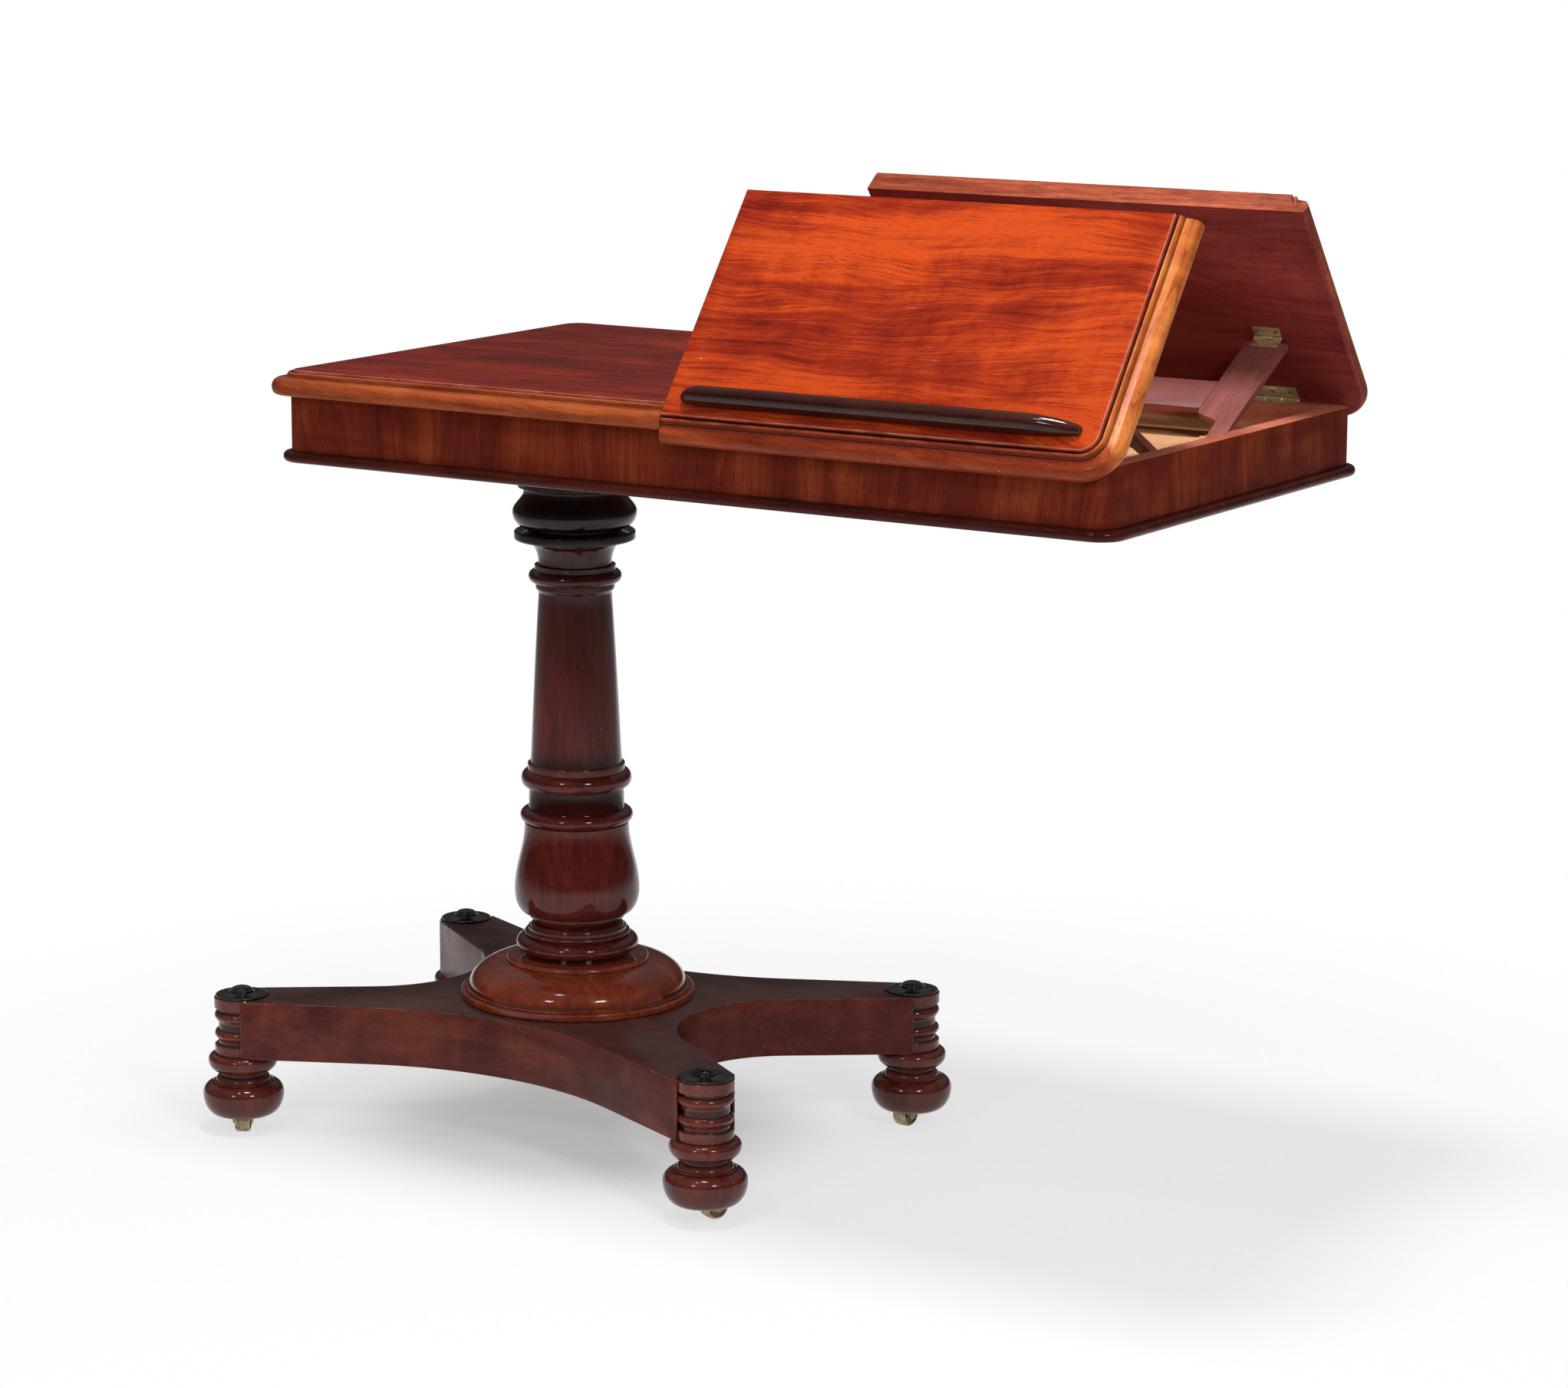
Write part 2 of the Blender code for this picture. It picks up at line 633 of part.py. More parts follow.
def build_feet():
    fork = fork_mesh()
    for name, (x, y) in foot_places():
        turned_part(f"foot_{name}", foot_profile(), "column_mahogany", FOOT_STEPS, location=(x, y, 0))
        turned_part(f"foot_cap_{name}", cap_profile(), "ebonised_wood", SMALL_STEPS, location=(x, y, 0))
        swivel = new_empty(f"castor_axis_{name}", location=(x, y, 0), turn=(0, 0, CASTOR_TURNS[name]))
        new_part(f"castor_fork_{name}", fork, "brass", swivel)
        axle_place = (CASTOR_TRAIL, 0, WHEEL_RADIUS)
        flat = (math.pi / 2, 0, 0)
        wheel_name = f"castor_wheel_{name}"
        turned_part(wheel_name, wheel_profile(), "brass", SMALL_STEPS, swivel, axle_place, flat, ring=True)


# Column


def base_ring_profile():
    """Rim, dome and top step of the ring round the column's foot."""
    bottom = PLATFORM_TOP + SEAT_GAP
    rim_top = bottom + BASE_RING_HEIGHT
    dome_top = rim_top + DOME_HEIGHT
    bore = LOWER_TENON_RADIUS + SEAT_GAP
    profile = [(bore, dome_top + STEP_HEIGHT), (STEP_RADIUS, dome_top + STEP_HEIGHT), (STEP_RADIUS, dome_top)]
    profile += round_out((STEP_RADIUS - 0.001, dome_top), (DOME_RADIUS, rim_top), 6)
    profile += ring_bead(DOME_RADIUS + 0.004, BASE_RING_RADIUS, rim_top, bottom)
    return profile + [(bore, bottom)]


def shaft_profile():
    """The column in one piece, tenoned at both ends."""
    top = BEARER_BOTTOM + BEARER_THICKNESS - SEAT_GAP
    height = BEARER_BOTTOM - FLANGE_HEIGHT - CAPITAL_TOP_NECK_HEIGHT - CAPITAL_BUN_HEIGHT
    height -= CAPITAL_SHOULDER_HEIGHT + CAPITAL_NECK_HEIGHT + DISC_HEIGHT + 2 * SEAT_GAP
    profile = [(0, top), (UPPER_TENON_RADIUS, top), (UPPER_TENON_RADIUS, height)]
    profile += [(CAVETTO_TOP_RADIUS, height)]
    profile += round_out((CAVETTO_TOP_RADIUS, height - 0.002), (CAVETTO_FOOT_RADIUS, height - CAVETTO_HEIGHT))
    height -= CAVETTO_HEIGHT
    profile += [(NECK_FILLET_RADIUS, height), (NECK_FILLET_RADIUS, height - NECK_FILLET_HEIGHT)]
    height -= NECK_FILLET_HEIGHT
    profile += ring_bead(NECK_FILLET_RADIUS, NECK_BEAD_RADIUS, height, height - NECK_BEAD_HEIGHT)
    height -= NECK_BEAD_HEIGHT + NECK_FILLET_HEIGHT
    profile += [(NECK_FILLET_RADIUS, height), (SHAFT_TOP_RADIUS, height - NECK_FILLET_HEIGHT)]

    base = PLATFORM_TOP + 2 * SEAT_GAP + BASE_RING_HEIGHT + DOME_HEIGHT + STEP_HEIGHT
    rising = [(0, PLATFORM_BOTTOM + SEAT_GAP), (LOWER_TENON_RADIUS, PLATFORM_BOTTOM + SEAT_GAP)]
    rising += [(LOWER_TENON_RADIUS, base), (SMALL_BEAD_RADIUS, base), (SMALL_BEAD_RADIUS, base + LOW_FILLET_HEIGHT)]
    height = base + LOW_FILLET_HEIGHT
    rising += ring_bead(SMALL_BEAD_RADIUS, LOW_BEAD_RADIUS, height, height + LOW_BEAD_HEIGHT)
    height += LOW_BEAD_HEIGHT
    rising += ring_bead(VASE_FOOT_RADIUS, SMALL_BEAD_RADIUS, height, height + SMALL_BEAD_HEIGHT)
    height += SMALL_BEAD_HEIGHT
    rising += [(VASE_FOOT_RADIUS, height + LOW_FILLET_HEIGHT)]
    neck_middle = height + LOW_FILLET_HEIGHT + (LOW_NECK_HEIGHT - LOW_FILLET_HEIGHT) / 3
    height += LOW_NECK_HEIGHT
    rising += [(LOW_NECK_RADIUS, neck_middle - 0.001), (LOW_NECK_RADIUS, neck_middle + 0.001)]
    rising += [(VASE_FOOT_RADIUS, height - 0.001)]
    rising += round_out((VASE_FOOT_RADIUS, height), (VASE_RADIUS, height + VASE_SWELL))
    height += VASE_SWELL
    rising += ease((VASE_RADIUS, height), (VASE_TOP_RADIUS, height + VASE_RISE))[1:]
    height += VASE_RISE
    rising += ring_bead(DRUM_RADIUS, VASE_RING_RADIUS, height, height + VASE_RING_HEIGHT)
    height += VASE_RING_HEIGHT + DRUM_HEIGHT
    rising += ring_bead(DRUM_RADIUS, MIDDLE_BEAD_RADIUS, height, height + MIDDLE_BEAD_HEIGHT)
    height += MIDDLE_BEAD_HEIGHT
    rising += [(SHAFT_FILLET_RADIUS, height), (SHAFT_FILLET_RADIUS, height + SHAFT_FILLET_HEIGHT)]
    rising += [(SHAFT_FOOT_RADIUS, height + SHAFT_FILLET_HEIGHT + 0.003)]
    return profile + rising[::-1]


def capital_profile():
    """Disc, bun and flange at the column's head, bored for the tenon."""
    top = BEARER_BOTTOM - SEAT_GAP
    height = BEARER_BOTTOM - FLANGE_HEIGHT
    bore = UPPER_TENON_RADIUS + SEAT_GAP
    profile = [(bore, top), (FLANGE_RADIUS, top), (FLANGE_RADIUS, height)]
    profile += [(CAPITAL_TOP_NECK_RADIUS, height - CAPITAL_TOP_NECK_HEIGHT / 2)]
    height -= CAPITAL_TOP_NECK_HEIGHT
    profile += ease((CAPITAL_TOP_NECK_RADIUS, height), (CAPITAL_BUN_RADIUS, height - CAPITAL_SHOULDER_HEIGHT))
    height -= CAPITAL_SHOULDER_HEIGHT
    profile += round_in((CAPITAL_BUN_RADIUS, height), (CAPITAL_NECK_RADIUS, height - CAPITAL_BUN_HEIGHT))
    height -= CAPITAL_BUN_HEIGHT + CAPITAL_NECK_HEIGHT
    profile += [(CAPITAL_NECK_RADIUS, height), (DISC_RADIUS - 0.001, height), (DISC_RADIUS, height - 0.001)]
    height -= DISC_HEIGHT
    return profile + [(DISC_RADIUS, height + 0.001), (DISC_RADIUS - 0.001, height), (bore, height)]


def build_column():
    place = (COLUMN_X, 0, 0)
    turned_part("column_base_ring", base_ring_profile(), "column_mahogany", COLUMN_STEPS, location=place, ring=True)
    turned_part("column_shaft", shaft_profile(), "column_mahogany", COLUMN_STEPS, location=place)
    turned_part("column_capital", capital_profile(), "column_mahogany", COLUMN_STEPS, location=place, ring=True)
    low = (COLUMN_X - BEARER_LENGTH / 2, -BEARER_WIDTH / 2, BEARER_BOTTOM)
    high = (COLUMN_X + BEARER_LENGTH / 2, BEARER_WIDTH / 2, BEARER_BOTTOM + BEARER_THICKNESS)
    bearer = new_part("top_bearer", block_mesh("top_bearer", low, high), "carcase_wood")
    reach = 2 * BEARER_THICKNESS
    hole = rod_mesh("head_mortice", UPPER_TENON_RADIUS + SEAT_GAP, -reach, reach, COLUMN_STEPS)
    combine(bearer, new_cutter("head_mortice", hole, location=(COLUMN_X, 0, BEARER_BOTTOM)))


# Box


def hinge_bed_mesh(name, upper):
    """The recess for a hinge's leaf and barrel, in the slope above the axis or the rail below it."""
    barrel = HINGE_BARREL + HINGE_GAP
    width = HINGE_WIDTH + SEAT_GAP
    depth = HINGE_LIFT + HINGE_THICKNESS + SEAT_GAP
    outside = barrel if upper else barrel + TOP_OVERHANG
    outline = [(-width, -barrel), (outside, -barrel), (outside, barrel)]
    outline += [(-barrel, barrel), (-barrel, depth), (-width, depth)]
    if not upper:
        outline = [(y, -z) for y, z in outline[::-1]]
    return plate_mesh(name, outline, HINGE_LENGTH + 2 * HINGE_GAP)


def facing_turn(side):
    """A half turn about Z for a piece that is drawn for the rear and used at the front."""
    return 0.0 if side > 0 else math.pi


def build_box():
    board_low = (FRIEZE_LEFT - BOTTOM_PROJECTION, -FRIEZE_DEPTH / 2 - BOTTOM_PROJECTION)
    board_high = (FRIEZE_RIGHT + BOTTOM_PROJECTION, FRIEZE_DEPTH / 2 + BOTTOM_PROJECTION)
    board_outline = rectangle(board_low, board_high, [FRIEZE_CORNER + BOTTOM_PROJECTION] * 4)
    board = plate_mesh("bottom_board", board_outline, BOTTOM_THICKNESS, BOTTOM_ROUND)
    new_part("bottom_board", board, "frieze_mahogany", location=(0, 0, BOARD_BOTTOM + BOTTOM_THICKNESS / 2))

    bed = hinge_bed_mesh("rail_hinge_bed", upper=False)
    frieze_middle = FRIEZE_BOTTOM + FRIEZE_HEIGHT / 2
    for name, side in SIDES.items():
        faces = sorted((side * FRIEZE_DEPTH / 2, side * INNER_HALF_DEPTH))
        rounded = FRIEZE_CORNER
        radii = (rounded, rounded, 0, 0) if side < 0 else (0, 0, rounded, rounded)
        outline = rectangle((FRIEZE_LEFT, faces[0]), (FRIEZE_RIGHT, faces[1]), radii)
        mesh = plate_mesh(f"{name}_frieze", outline, FRIEZE_HEIGHT)
        frieze = new_part(f"{name}_frieze", mesh, "frieze_mahogany", location=(0, 0, frieze_middle))
        for hand, step in HANDS.items():
            place = (WELL_X + step * HINGE_X, side * AXIS_Y, AXIS_Z)
            turn = (PLANE_YZ[0], 0, PLANE_YZ[2] + facing_turn(side))
            combine(frieze, new_cutter(f"{name}_rail_bed_{hand}", bed, location=place, turn=turn))

    between = INNER_HALF_DEPTH - SEAT_GAP
    for name, left in (("left", FRIEZE_LEFT), ("right", FRIEZE_RIGHT - RAIL_THICKNESS)):
        low = (left, -between, FRIEZE_BOTTOM)
        high = (left + RAIL_THICKNESS, between, RIM)
        new_part(f"{name}_frieze", block_mesh(f"{name}_frieze", low, high), "frieze_mahogany")

    low = (WELL_LEFT - CROSS_RAIL_THICKNESS, -between, FRIEZE_BOTTOM)
    high = (WELL_LEFT, between, RIM)
    new_part("cross_rail", block_mesh("cross_rail", low, high), "carcase_wood")

    low = (WELL_LEFT + SEAT_GAP, -between, WELL_FLOOR - WELL_FLOOR_THICKNESS)
    high = (WELL_RIGHT - SEAT_GAP, between, WELL_FLOOR)
    new_part("well_floor", block_mesh("well_floor", low, high), "pale_wood")


# Leaf and slopes


def edge_levels():
    """The moulded edge: distance in from the nose and height above the underside, rising."""
    nose = round_out((NOSE_UNDERCUT, 0), (0, 0.4 * NOSE_HEIGHT), 3)
    thumb = round_in((0, 0.4 * NOSE_HEIGHT), (NOSE_ROUND, NOSE_HEIGHT), 4)[1:]
    fillet = TOP_THICKNESS - FILLET_DROP
    step = NOSE_WIDTH + 0.0012
    levels = nose + thumb + [(NOSE_WIDTH, NOSE_HEIGHT), (step, fillet), (step + FILLET_WIDTH, fillet)]
    return levels + [(FIELD_BAND, TOP_THICKNESS)]


def top_mesh(name, origin):
    """The whole top as one moulded board, about an origin given in world coordinates."""
    shape = bmesh.new()
    rings = []
    for inset, height in edge_levels():
        low = (TOP_LEFT + inset, -TOP_HALF_DEPTH + inset)
        high = (TOP_RIGHT - inset, TOP_HALF_DEPTH - inset)
        outline = rectangle(low, high, [TOP_CORNER - inset] * 4)
        level = TOP_BOTTOM + height - origin[2]
        rings.append([shape.verts.new((x - origin[0], y - origin[1], level)) for x, y in outline])
    for lower, upper in zip(rings, rings[1:]):
        for i, vert in enumerate(lower):
            shape.faces.new((lower[i - 1], vert, upper[i], upper[i - 1]))
    shape.faces.new(rings[0][::-1])
    shape.faces.new(rings[-1])
    mesh = bpy.data.meshes.new(name)
    shape.to_mesh(mesh)
    shape.free()
    return mesh


def cut_from_top(name, finish, low, high, parent=None, origin=(0, 0, 0)):
    """A leaf cut from the moulded top between two corners of its plan."""
    leaf = new_part(name, top_mesh(name, origin), finish, parent)
    spare = TOP_THICKNESS
    low = (low[0] - origin[0], low[1] - origin[1], TOP_BOTTOM - spare - origin[2])
    high = (high[0] - origin[0], high[1] - origin[1], TOP_BOTTOM + 2 * spare - origin[2])
    region = new_cutter(f"{name}_region", block_mesh(f"{name}_region", low, high), parent)
    combine(leaf, region, "INTERSECT")
    return leaf


def build_leaf():
    low = (TOP_LEFT - TOP_OVERHANG, -2 * TOP_HALF_DEPTH)
    high = (SEAM_X - SEAM_GAP / 2, 2 * TOP_HALF_DEPTH)
    cut_from_top("fixed_leaf", "leaf_mahogany", low, high)


def build_slope(name, side, axis):
    """A slope drawn closed about its hinge axis, with beds for its hinges."""
    origin = (WELL_X, side * AXIS_Y, AXIS_Z)
    edges = sorted((side * 2 * TOP_HALF_DEPTH, side * SEAM_GAP / 2))
    low = (SEAM_X + SEAM_GAP / 2, edges[0])
    high = (TOP_RIGHT + TOP_OVERHANG, edges[1])
    slope = cut_from_top(f"{name}_slope", "slope_mahogany", low, high, axis, origin)
    bed = hinge_bed_mesh(f"{name}_slope_bed", upper=True)
    for hand, step in HANDS.items():
        turn = (PLANE_YZ[0], 0, PLANE_YZ[2] + facing_turn(side))
        place = (step * HINGE_X, 0, 0)
        combine(slope, new_cutter(f"{name}_slope_bed_{hand}", bed, axis, place, turn))


def ledge_outline(side):
    """The ledge seen along the slope: a long bar with bullet-shaped ends, the reader's right one longer."""
    half = LEDGE_LENGTH / 2
    runs = (LEDGE_RIGHT_RUN, LEDGE_LEFT_RUN) if side < 0 else (LEDGE_LEFT_RUN, LEDGE_RIGHT_RUN)
    right, left = (round_in((half, LEDGE_TIP), (half - run, LEDGE_HEIGHT), 6) for run in runs)
    return [(-half, 0), (half, 0)] + right + [(-x, height) for x, height in left[::-1]]


def build_ledge(name, side, axis):
    mesh = plate_mesh(f"{name}_ledge", ledge_outline(side), LEDGE_THICKNESS, LEDGE_ROUND)
    seat = RIM_GAP / 2 + TOP_THICKNESS + SEAT_GAP
    place = (0, -side * LEDGE_FROM_AXIS, seat)
    new_part(f"{name}_ledge", mesh, "slope_mahogany", axis, place, PLANE_XZ)


# Hinges


def hinge_leaf_mesh(name, length, width, thickness, barrel, pin, lift, upper):
    """One leaf of a butt hinge about local X, its plate towards -Y.

    The upper leaf has the middle knuckle, bored for the pin. The lower leaf has the two end
    knuckles and holds the pin.
    """
    third = length / 6
    inner_edge = -(barrel + HINGE_GAP)
    low, high = (lift, lift + thickness) if upper else (-lift - thickness, -lift)
    pieces = [block_mesh("plate", (-length / 2, -width, low), (length / 2, inner_edge, high))]
    middle = (-third + HINGE_GAP / 2, third - HINGE_GAP / 2)
    ends = ((-length / 2, -third - HINGE_GAP / 2), (third + HINGE_GAP / 2, length / 2))
    for start, end in (middle,) if upper else ends:
        pieces.append(block_mesh("tongue", (start, inner_edge - barrel, low), (end, 0, high)))
        pieces.append(rod_mesh("knuckle", barrel, start, end, BARREL_STEPS, "X"))
    if upper:
        hole = rod_mesh("pin_hole", pin + AXLE_GAP, -third, third, BARREL_STEPS, "X")
        return joined_mesh(name, pieces, hole)
    pieces.append(rod_mesh("pin", pin, barrel - length / 2, length / 2 - barrel, BARREL_STEPS, "X"))
    return joined_mesh(name, pieces)


def slope_hinge_leaf(upper):
    name = "slope_leaf" if upper else "rail_leaf"
    sizes = (HINGE_LENGTH, HINGE_WIDTH, HINGE_THICKNESS, HINGE_BARREL, HINGE_PIN, HINGE_LIFT)
    return hinge_leaf_mesh(name, *sizes, upper)


def prop_hinge_leaf(upper):
    name = "prop_upper_leaf" if upper else "prop_lower_leaf"
    sizes = (PROP_HINGE_LENGTH, PROP_HINGE_WIDTH, PROP_HINGE_THICKNESS)
    sizes += (PROP_HINGE_BARREL, PROP_HINGE_PIN, PROP_HINGE_LIFT)
    return hinge_leaf_mesh(name, *sizes, upper)


def hand_at(side, step):
    """The hand, seen from the front, of a piece at this step along its own local X."""
    return "right" if side * step > 0 else "left"


# Props and notched strips


def leg_outline():
    """A prop's leg, its outer edge on local Y, from the pivot outwards, with an ogee to the foot."""
    foot_start = PROP_LENGTH - PROP_FOOT_LENGTH
    ogee_start = foot_start - PROP_OGEE
    curve = ease((PROP_LEG_WIDTH, ogee_start), (PROP_FOOT_WIDTH, foot_start), 6)
    inner = [(PROP_LEG_WIDTH, PROP_TOP_START)] + curve + [(PROP_FOOT_WIDTH, PROP_LENGTH)]
    return [(-x, -y) for x, y in [(0, PROP_TOP_START)] + inner + [(0, PROP_LENGTH)]]


def tip_bevel_outline():
    """What is cut from a foot's end on the upper face, across the prop's thickness."""
    waste = (PROP_THICKNESS - PROP_TIP) / 2
    start = -(PROP_LENGTH - PROP_TIP_BEVEL)
    end = -(PROP_LENGTH + PROP_TIP_BEVEL)
    return [(start, 0), (end, -2 * waste), (end, PROP_THICKNESS), (start, PROP_THICKNESS)]


def build_prop(name, side, axis, pivot):
    """Two legs and a rail, drawn folded up to the slope about the pivot."""
    middle = -(PROP_DROP + PROP_THICKNESS / 2)
    bevel = plate_mesh(f"{name}_tip_bevel", tip_bevel_outline(), 3 * PROP_FOOT_WIDTH)
    lower_leaf = prop_hinge_leaf(upper=False)
    upper_leaf = prop_hinge_leaf(upper=True)
    inner_x = PROP_OUTER_X - PROP_LEG_WIDTH
    for step in (-1, 1):
        hand = hand_at(side, step)
        outline = [(step * (PROP_OUTER_X + x), y) for x, y in leg_outline()]
        leg = plate_mesh(f"{name}_prop_leg_{hand}", outline[::-step], PROP_THICKNESS)
        leg = new_part(f"{name}_prop_leg_{hand}", leg, "prop_wood", pivot, (0, 0, middle))
        foot_x = step * (PROP_OUTER_X - PROP_FOOT_WIDTH / 2)
        for face, turn in (("upper", 0), ("lower", math.pi)):
            place = (foot_x, 0, -PROP_DROP - (0 if turn == 0 else PROP_THICKNESS))
            cutter = new_cutter(f"{name}_{face}_bevel_{hand}", bevel, pivot, place, PLANE_YZ)
            if turn:
                cutter.scale = (1, -1, -1)
            combine(leg, cutter)
        hinge_x = step * (PROP_OUTER_X - PROP_LEG_WIDTH / 2)
        new_part(f"{name}_prop_hinge_prop_leaf_{hand}", lower_leaf, "brass", pivot, (hinge_x, 0, 0))
        place = (hinge_x * side, -side * PROP_PIVOT_UP, PIVOT_BELOW)
        turn = (0, 0, facing_turn(side))
        new_part(f"{name}_prop_hinge_slope_leaf_{hand}", upper_leaf, "brass", axis, place, turn)
    rail_end = PROP_RAIL_START + PROP_RAIL_HEIGHT
    low = (-inner_x + SEAT_GAP, -rail_end, -PROP_DROP - PROP_THICKNESS)
    high = (inner_x - SEAT_GAP, -PROP_RAIL_START, -PROP_DROP)
    new_part(f"{name}_prop_rail", block_mesh(f"{name}_prop_rail", low, high), "prop_wood", pivot)


def prop_tip():
    """Distance of the rear prop's foot from the middle line, and its height, at rest."""
    pivot_in = PROP_PIVOT_UP * math.cos(SLOPE_ANGLE) - PIVOT_BELOW * math.sin(SLOPE_ANGLE)
    pivot_up = PROP_PIVOT_UP * math.sin(SLOPE_ANGLE) + PIVOT_BELOW * math.cos(SLOPE_ANGLE)
    lean = PROP_UNFOLD - SLOPE_ANGLE
    under = PROP_DROP + (PROP_THICKNESS + PROP_TIP) / 2
    tip_in = pivot_in + PROP_LENGTH * math.cos(lean) - under * math.sin(lean)
    tip_down = PROP_LENGTH * math.sin(lean) + under * math.cos(lean) - pivot_up
    return AXIS_Y - tip_in, AXIS_Z - tip_down


def ratchet_outline():
    """A strip seen from its end: notches on both sides of the middle, one under each foot."""
    tip_y, tip_z = prop_tip()
    top = tip_z + RATCHET_BITE
    notch_bottom = top - RATCHET_DEPTH
    reach = tip_y + RATCHET_NOTCHES_OUT * RATCHET_PITCH + RATCHET_MOUTH / 2 + RATCHET_END
    outline = [(-reach, WELL_FLOOR + SEAT_GAP), (reach, WELL_FLOOR + SEAT_GAP), (reach, top)]
    steps = range(RATCHET_NOTCHES_OUT, -RATCHET_NOTCHES_IN - 1, -1)
    places = [tip_y + step * RATCHET_PITCH for step in steps]
    for y in places + [-y for y in reversed(places)]:
        outline += [(y + RATCHET_MOUTH / 2, top), (y, notch_bottom), (y - RATCHET_MOUTH / 2, top)]
    return outline + [(-reach, top)]


def build_ratchets():
    middle = PROP_OUTER_X + RATCHET_OUTER_LAP - RATCHET_WIDTH / 2
    for hand, step in HANDS.items():
        mesh = plate_mesh(f"ratchet_{hand}", ratchet_outline(), RATCHET_WIDTH)
        place = (WELL_X + step * middle, 0, 0)
        new_part(f"ratchet_{hand}", mesh, "pale_wood", location=place, turn=PLANE_YZ)


def build_rising_half(name, side):
    """A slope with its ledge, hinges and prop, raised to the reading angle."""
    raised = (-side * SLOPE_ANGLE, 0, 0)
    axis = new_empty(f"{name}_slope_axis", None, (WELL_X, side * AXIS_Y, AXIS_Z), raised)
    unfolded = (PROP_UNFOLD, 0, facing_turn(side))
    pivot_place = (0, -side * PROP_PIVOT_UP, PIVOT_BELOW)
    pivot = new_empty(f"{name}_prop_axis", axis, pivot_place, unfolded)
    build_slope(name, side, axis)
    build_ledge(name, side, axis)
    rail_leaf = slope_hinge_leaf(upper=False)
    slope_leaf = slope_hinge_leaf(upper=True)
    facing = (0, 0, facing_turn(side))
    for hand, step in HANDS.items():
        place = (WELL_X + step * HINGE_X, side * AXIS_Y, AXIS_Z)
        new_part(f"{name}_hinge_rail_leaf_{hand}", rail_leaf, "brass", None, place, facing)
        place = (step * HINGE_X, 0, 0)
        new_part(f"{name}_hinge_slope_leaf_{hand}", slope_leaf, "brass", axis, place, facing)
    build_prop(name, side, axis, pivot)


build_platform()
build_feet()
build_column()
build_box()
build_leaf()
for side_name, side_sign in SIDES.items():
    build_rising_half(side_name, side_sign)
build_ratchets()
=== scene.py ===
"""Looks of the pedestal reading table: finer shapes, timber finishes, brass, light and camera.

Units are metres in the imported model's frame. +X runs along the top from the fixed leaf to the slopes,
the front is at -Y and +Z is up. Every piece is drawn in its own plain position, as a leaf lying flat or a
prop folded up, and its place is then put into its mesh.
"""

import json
import math

import bmesh
import bpy
from mathutils import Matrix, Vector

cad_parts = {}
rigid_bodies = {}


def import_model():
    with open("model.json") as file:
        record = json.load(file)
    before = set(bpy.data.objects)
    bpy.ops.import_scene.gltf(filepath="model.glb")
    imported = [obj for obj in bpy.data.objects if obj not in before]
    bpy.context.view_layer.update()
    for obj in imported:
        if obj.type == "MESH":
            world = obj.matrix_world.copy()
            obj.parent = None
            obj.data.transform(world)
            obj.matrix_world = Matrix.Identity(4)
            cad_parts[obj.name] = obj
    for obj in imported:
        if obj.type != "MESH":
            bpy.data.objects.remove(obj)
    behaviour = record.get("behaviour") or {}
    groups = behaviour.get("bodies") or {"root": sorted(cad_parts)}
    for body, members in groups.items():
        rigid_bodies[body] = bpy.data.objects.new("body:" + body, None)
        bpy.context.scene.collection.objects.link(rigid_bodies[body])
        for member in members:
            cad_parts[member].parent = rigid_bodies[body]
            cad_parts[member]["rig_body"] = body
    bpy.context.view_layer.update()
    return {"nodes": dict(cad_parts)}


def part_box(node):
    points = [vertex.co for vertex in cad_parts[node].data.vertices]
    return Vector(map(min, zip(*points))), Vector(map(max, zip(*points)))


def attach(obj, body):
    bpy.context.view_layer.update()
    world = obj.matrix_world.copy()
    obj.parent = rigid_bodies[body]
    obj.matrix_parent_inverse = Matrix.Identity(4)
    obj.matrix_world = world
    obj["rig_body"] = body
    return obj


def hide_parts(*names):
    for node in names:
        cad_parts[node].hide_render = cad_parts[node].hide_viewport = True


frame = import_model()

# Fits
SEAT_GAP = 0.0003
RIM_GAP = 0.0006
SEAM_GAP = 0.0010
HINGE_GAP = 0.0004
AXLE_GAP = 0.00015

# Box under the top
FRIEZE_CORNER = 0.017
FRIEZE_INNER_CORNER = 0.0004
RAIL_THICKNESS = 0.018
RIM_EASE = 0.0006
BOTTOM_ROUND = 0.0048
BOTTOM_CORNER = FRIEZE_CORNER + 0.008
BOTTOM_FLATS = (0.0064, 0.0069)

# Leaf and slopes
TOP_THICKNESS = 0.0217
TOP_OVERHANG = 0.018
RIGHT_OVERHANG = 0.0133
TOP_CORNER = 0.036
SLOPE_ANGLE = math.radians(53.0)

# Moulded edge of the top: distance in from the nose and height above the underside
NOSE_UNDERCUT = 0.0035
NOSE_MIDDLE = 0.0066
NOSE_ROUND = 0.0078
NOSE_SHOULDER = 0.0148
NOSE_HEIGHT = 0.0156
NOSE_WIDTH = 0.0122
COVE_END = (0.0144, 0.0180)
BEAD_START = 0.0148
BEAD_WIDTH = 0.0032
BEAD_HEIGHT = 0.0200
QUIRK_WIDTH = 0.0019
QUIRK_HEIGHT = 0.0170
FIELD_EASE = 0.0006
FIELD_BAND = 0.0212

# Book ledges
LEDGE_LENGTH = 0.390
LEDGE_HEIGHT = 0.0160
LEDGE_THICKNESS = 0.0155
LEDGE_LONG_END = 0.052
LEDGE_SHORT_END = 0.022
LEDGE_TIP = 0.0046
LEDGE_CROWN = 0.55
LEDGE_END_WIDTH = 0.35
LEDGE_FROM_AXIS = 0.0195

# Slope hinges
HINGE_LENGTH = 0.050
HINGE_WIDTH = 0.0165
HINGE_THICKNESS = 0.0020
HINGE_BARREL = 0.0030
HINGE_PIN = 0.0014
HINGE_END_MARGIN = 0.036
HINGE_LIFT = RIM_GAP / 2
PLATE_CORNER = 0.0016
PLATE_EASE = 0.00025

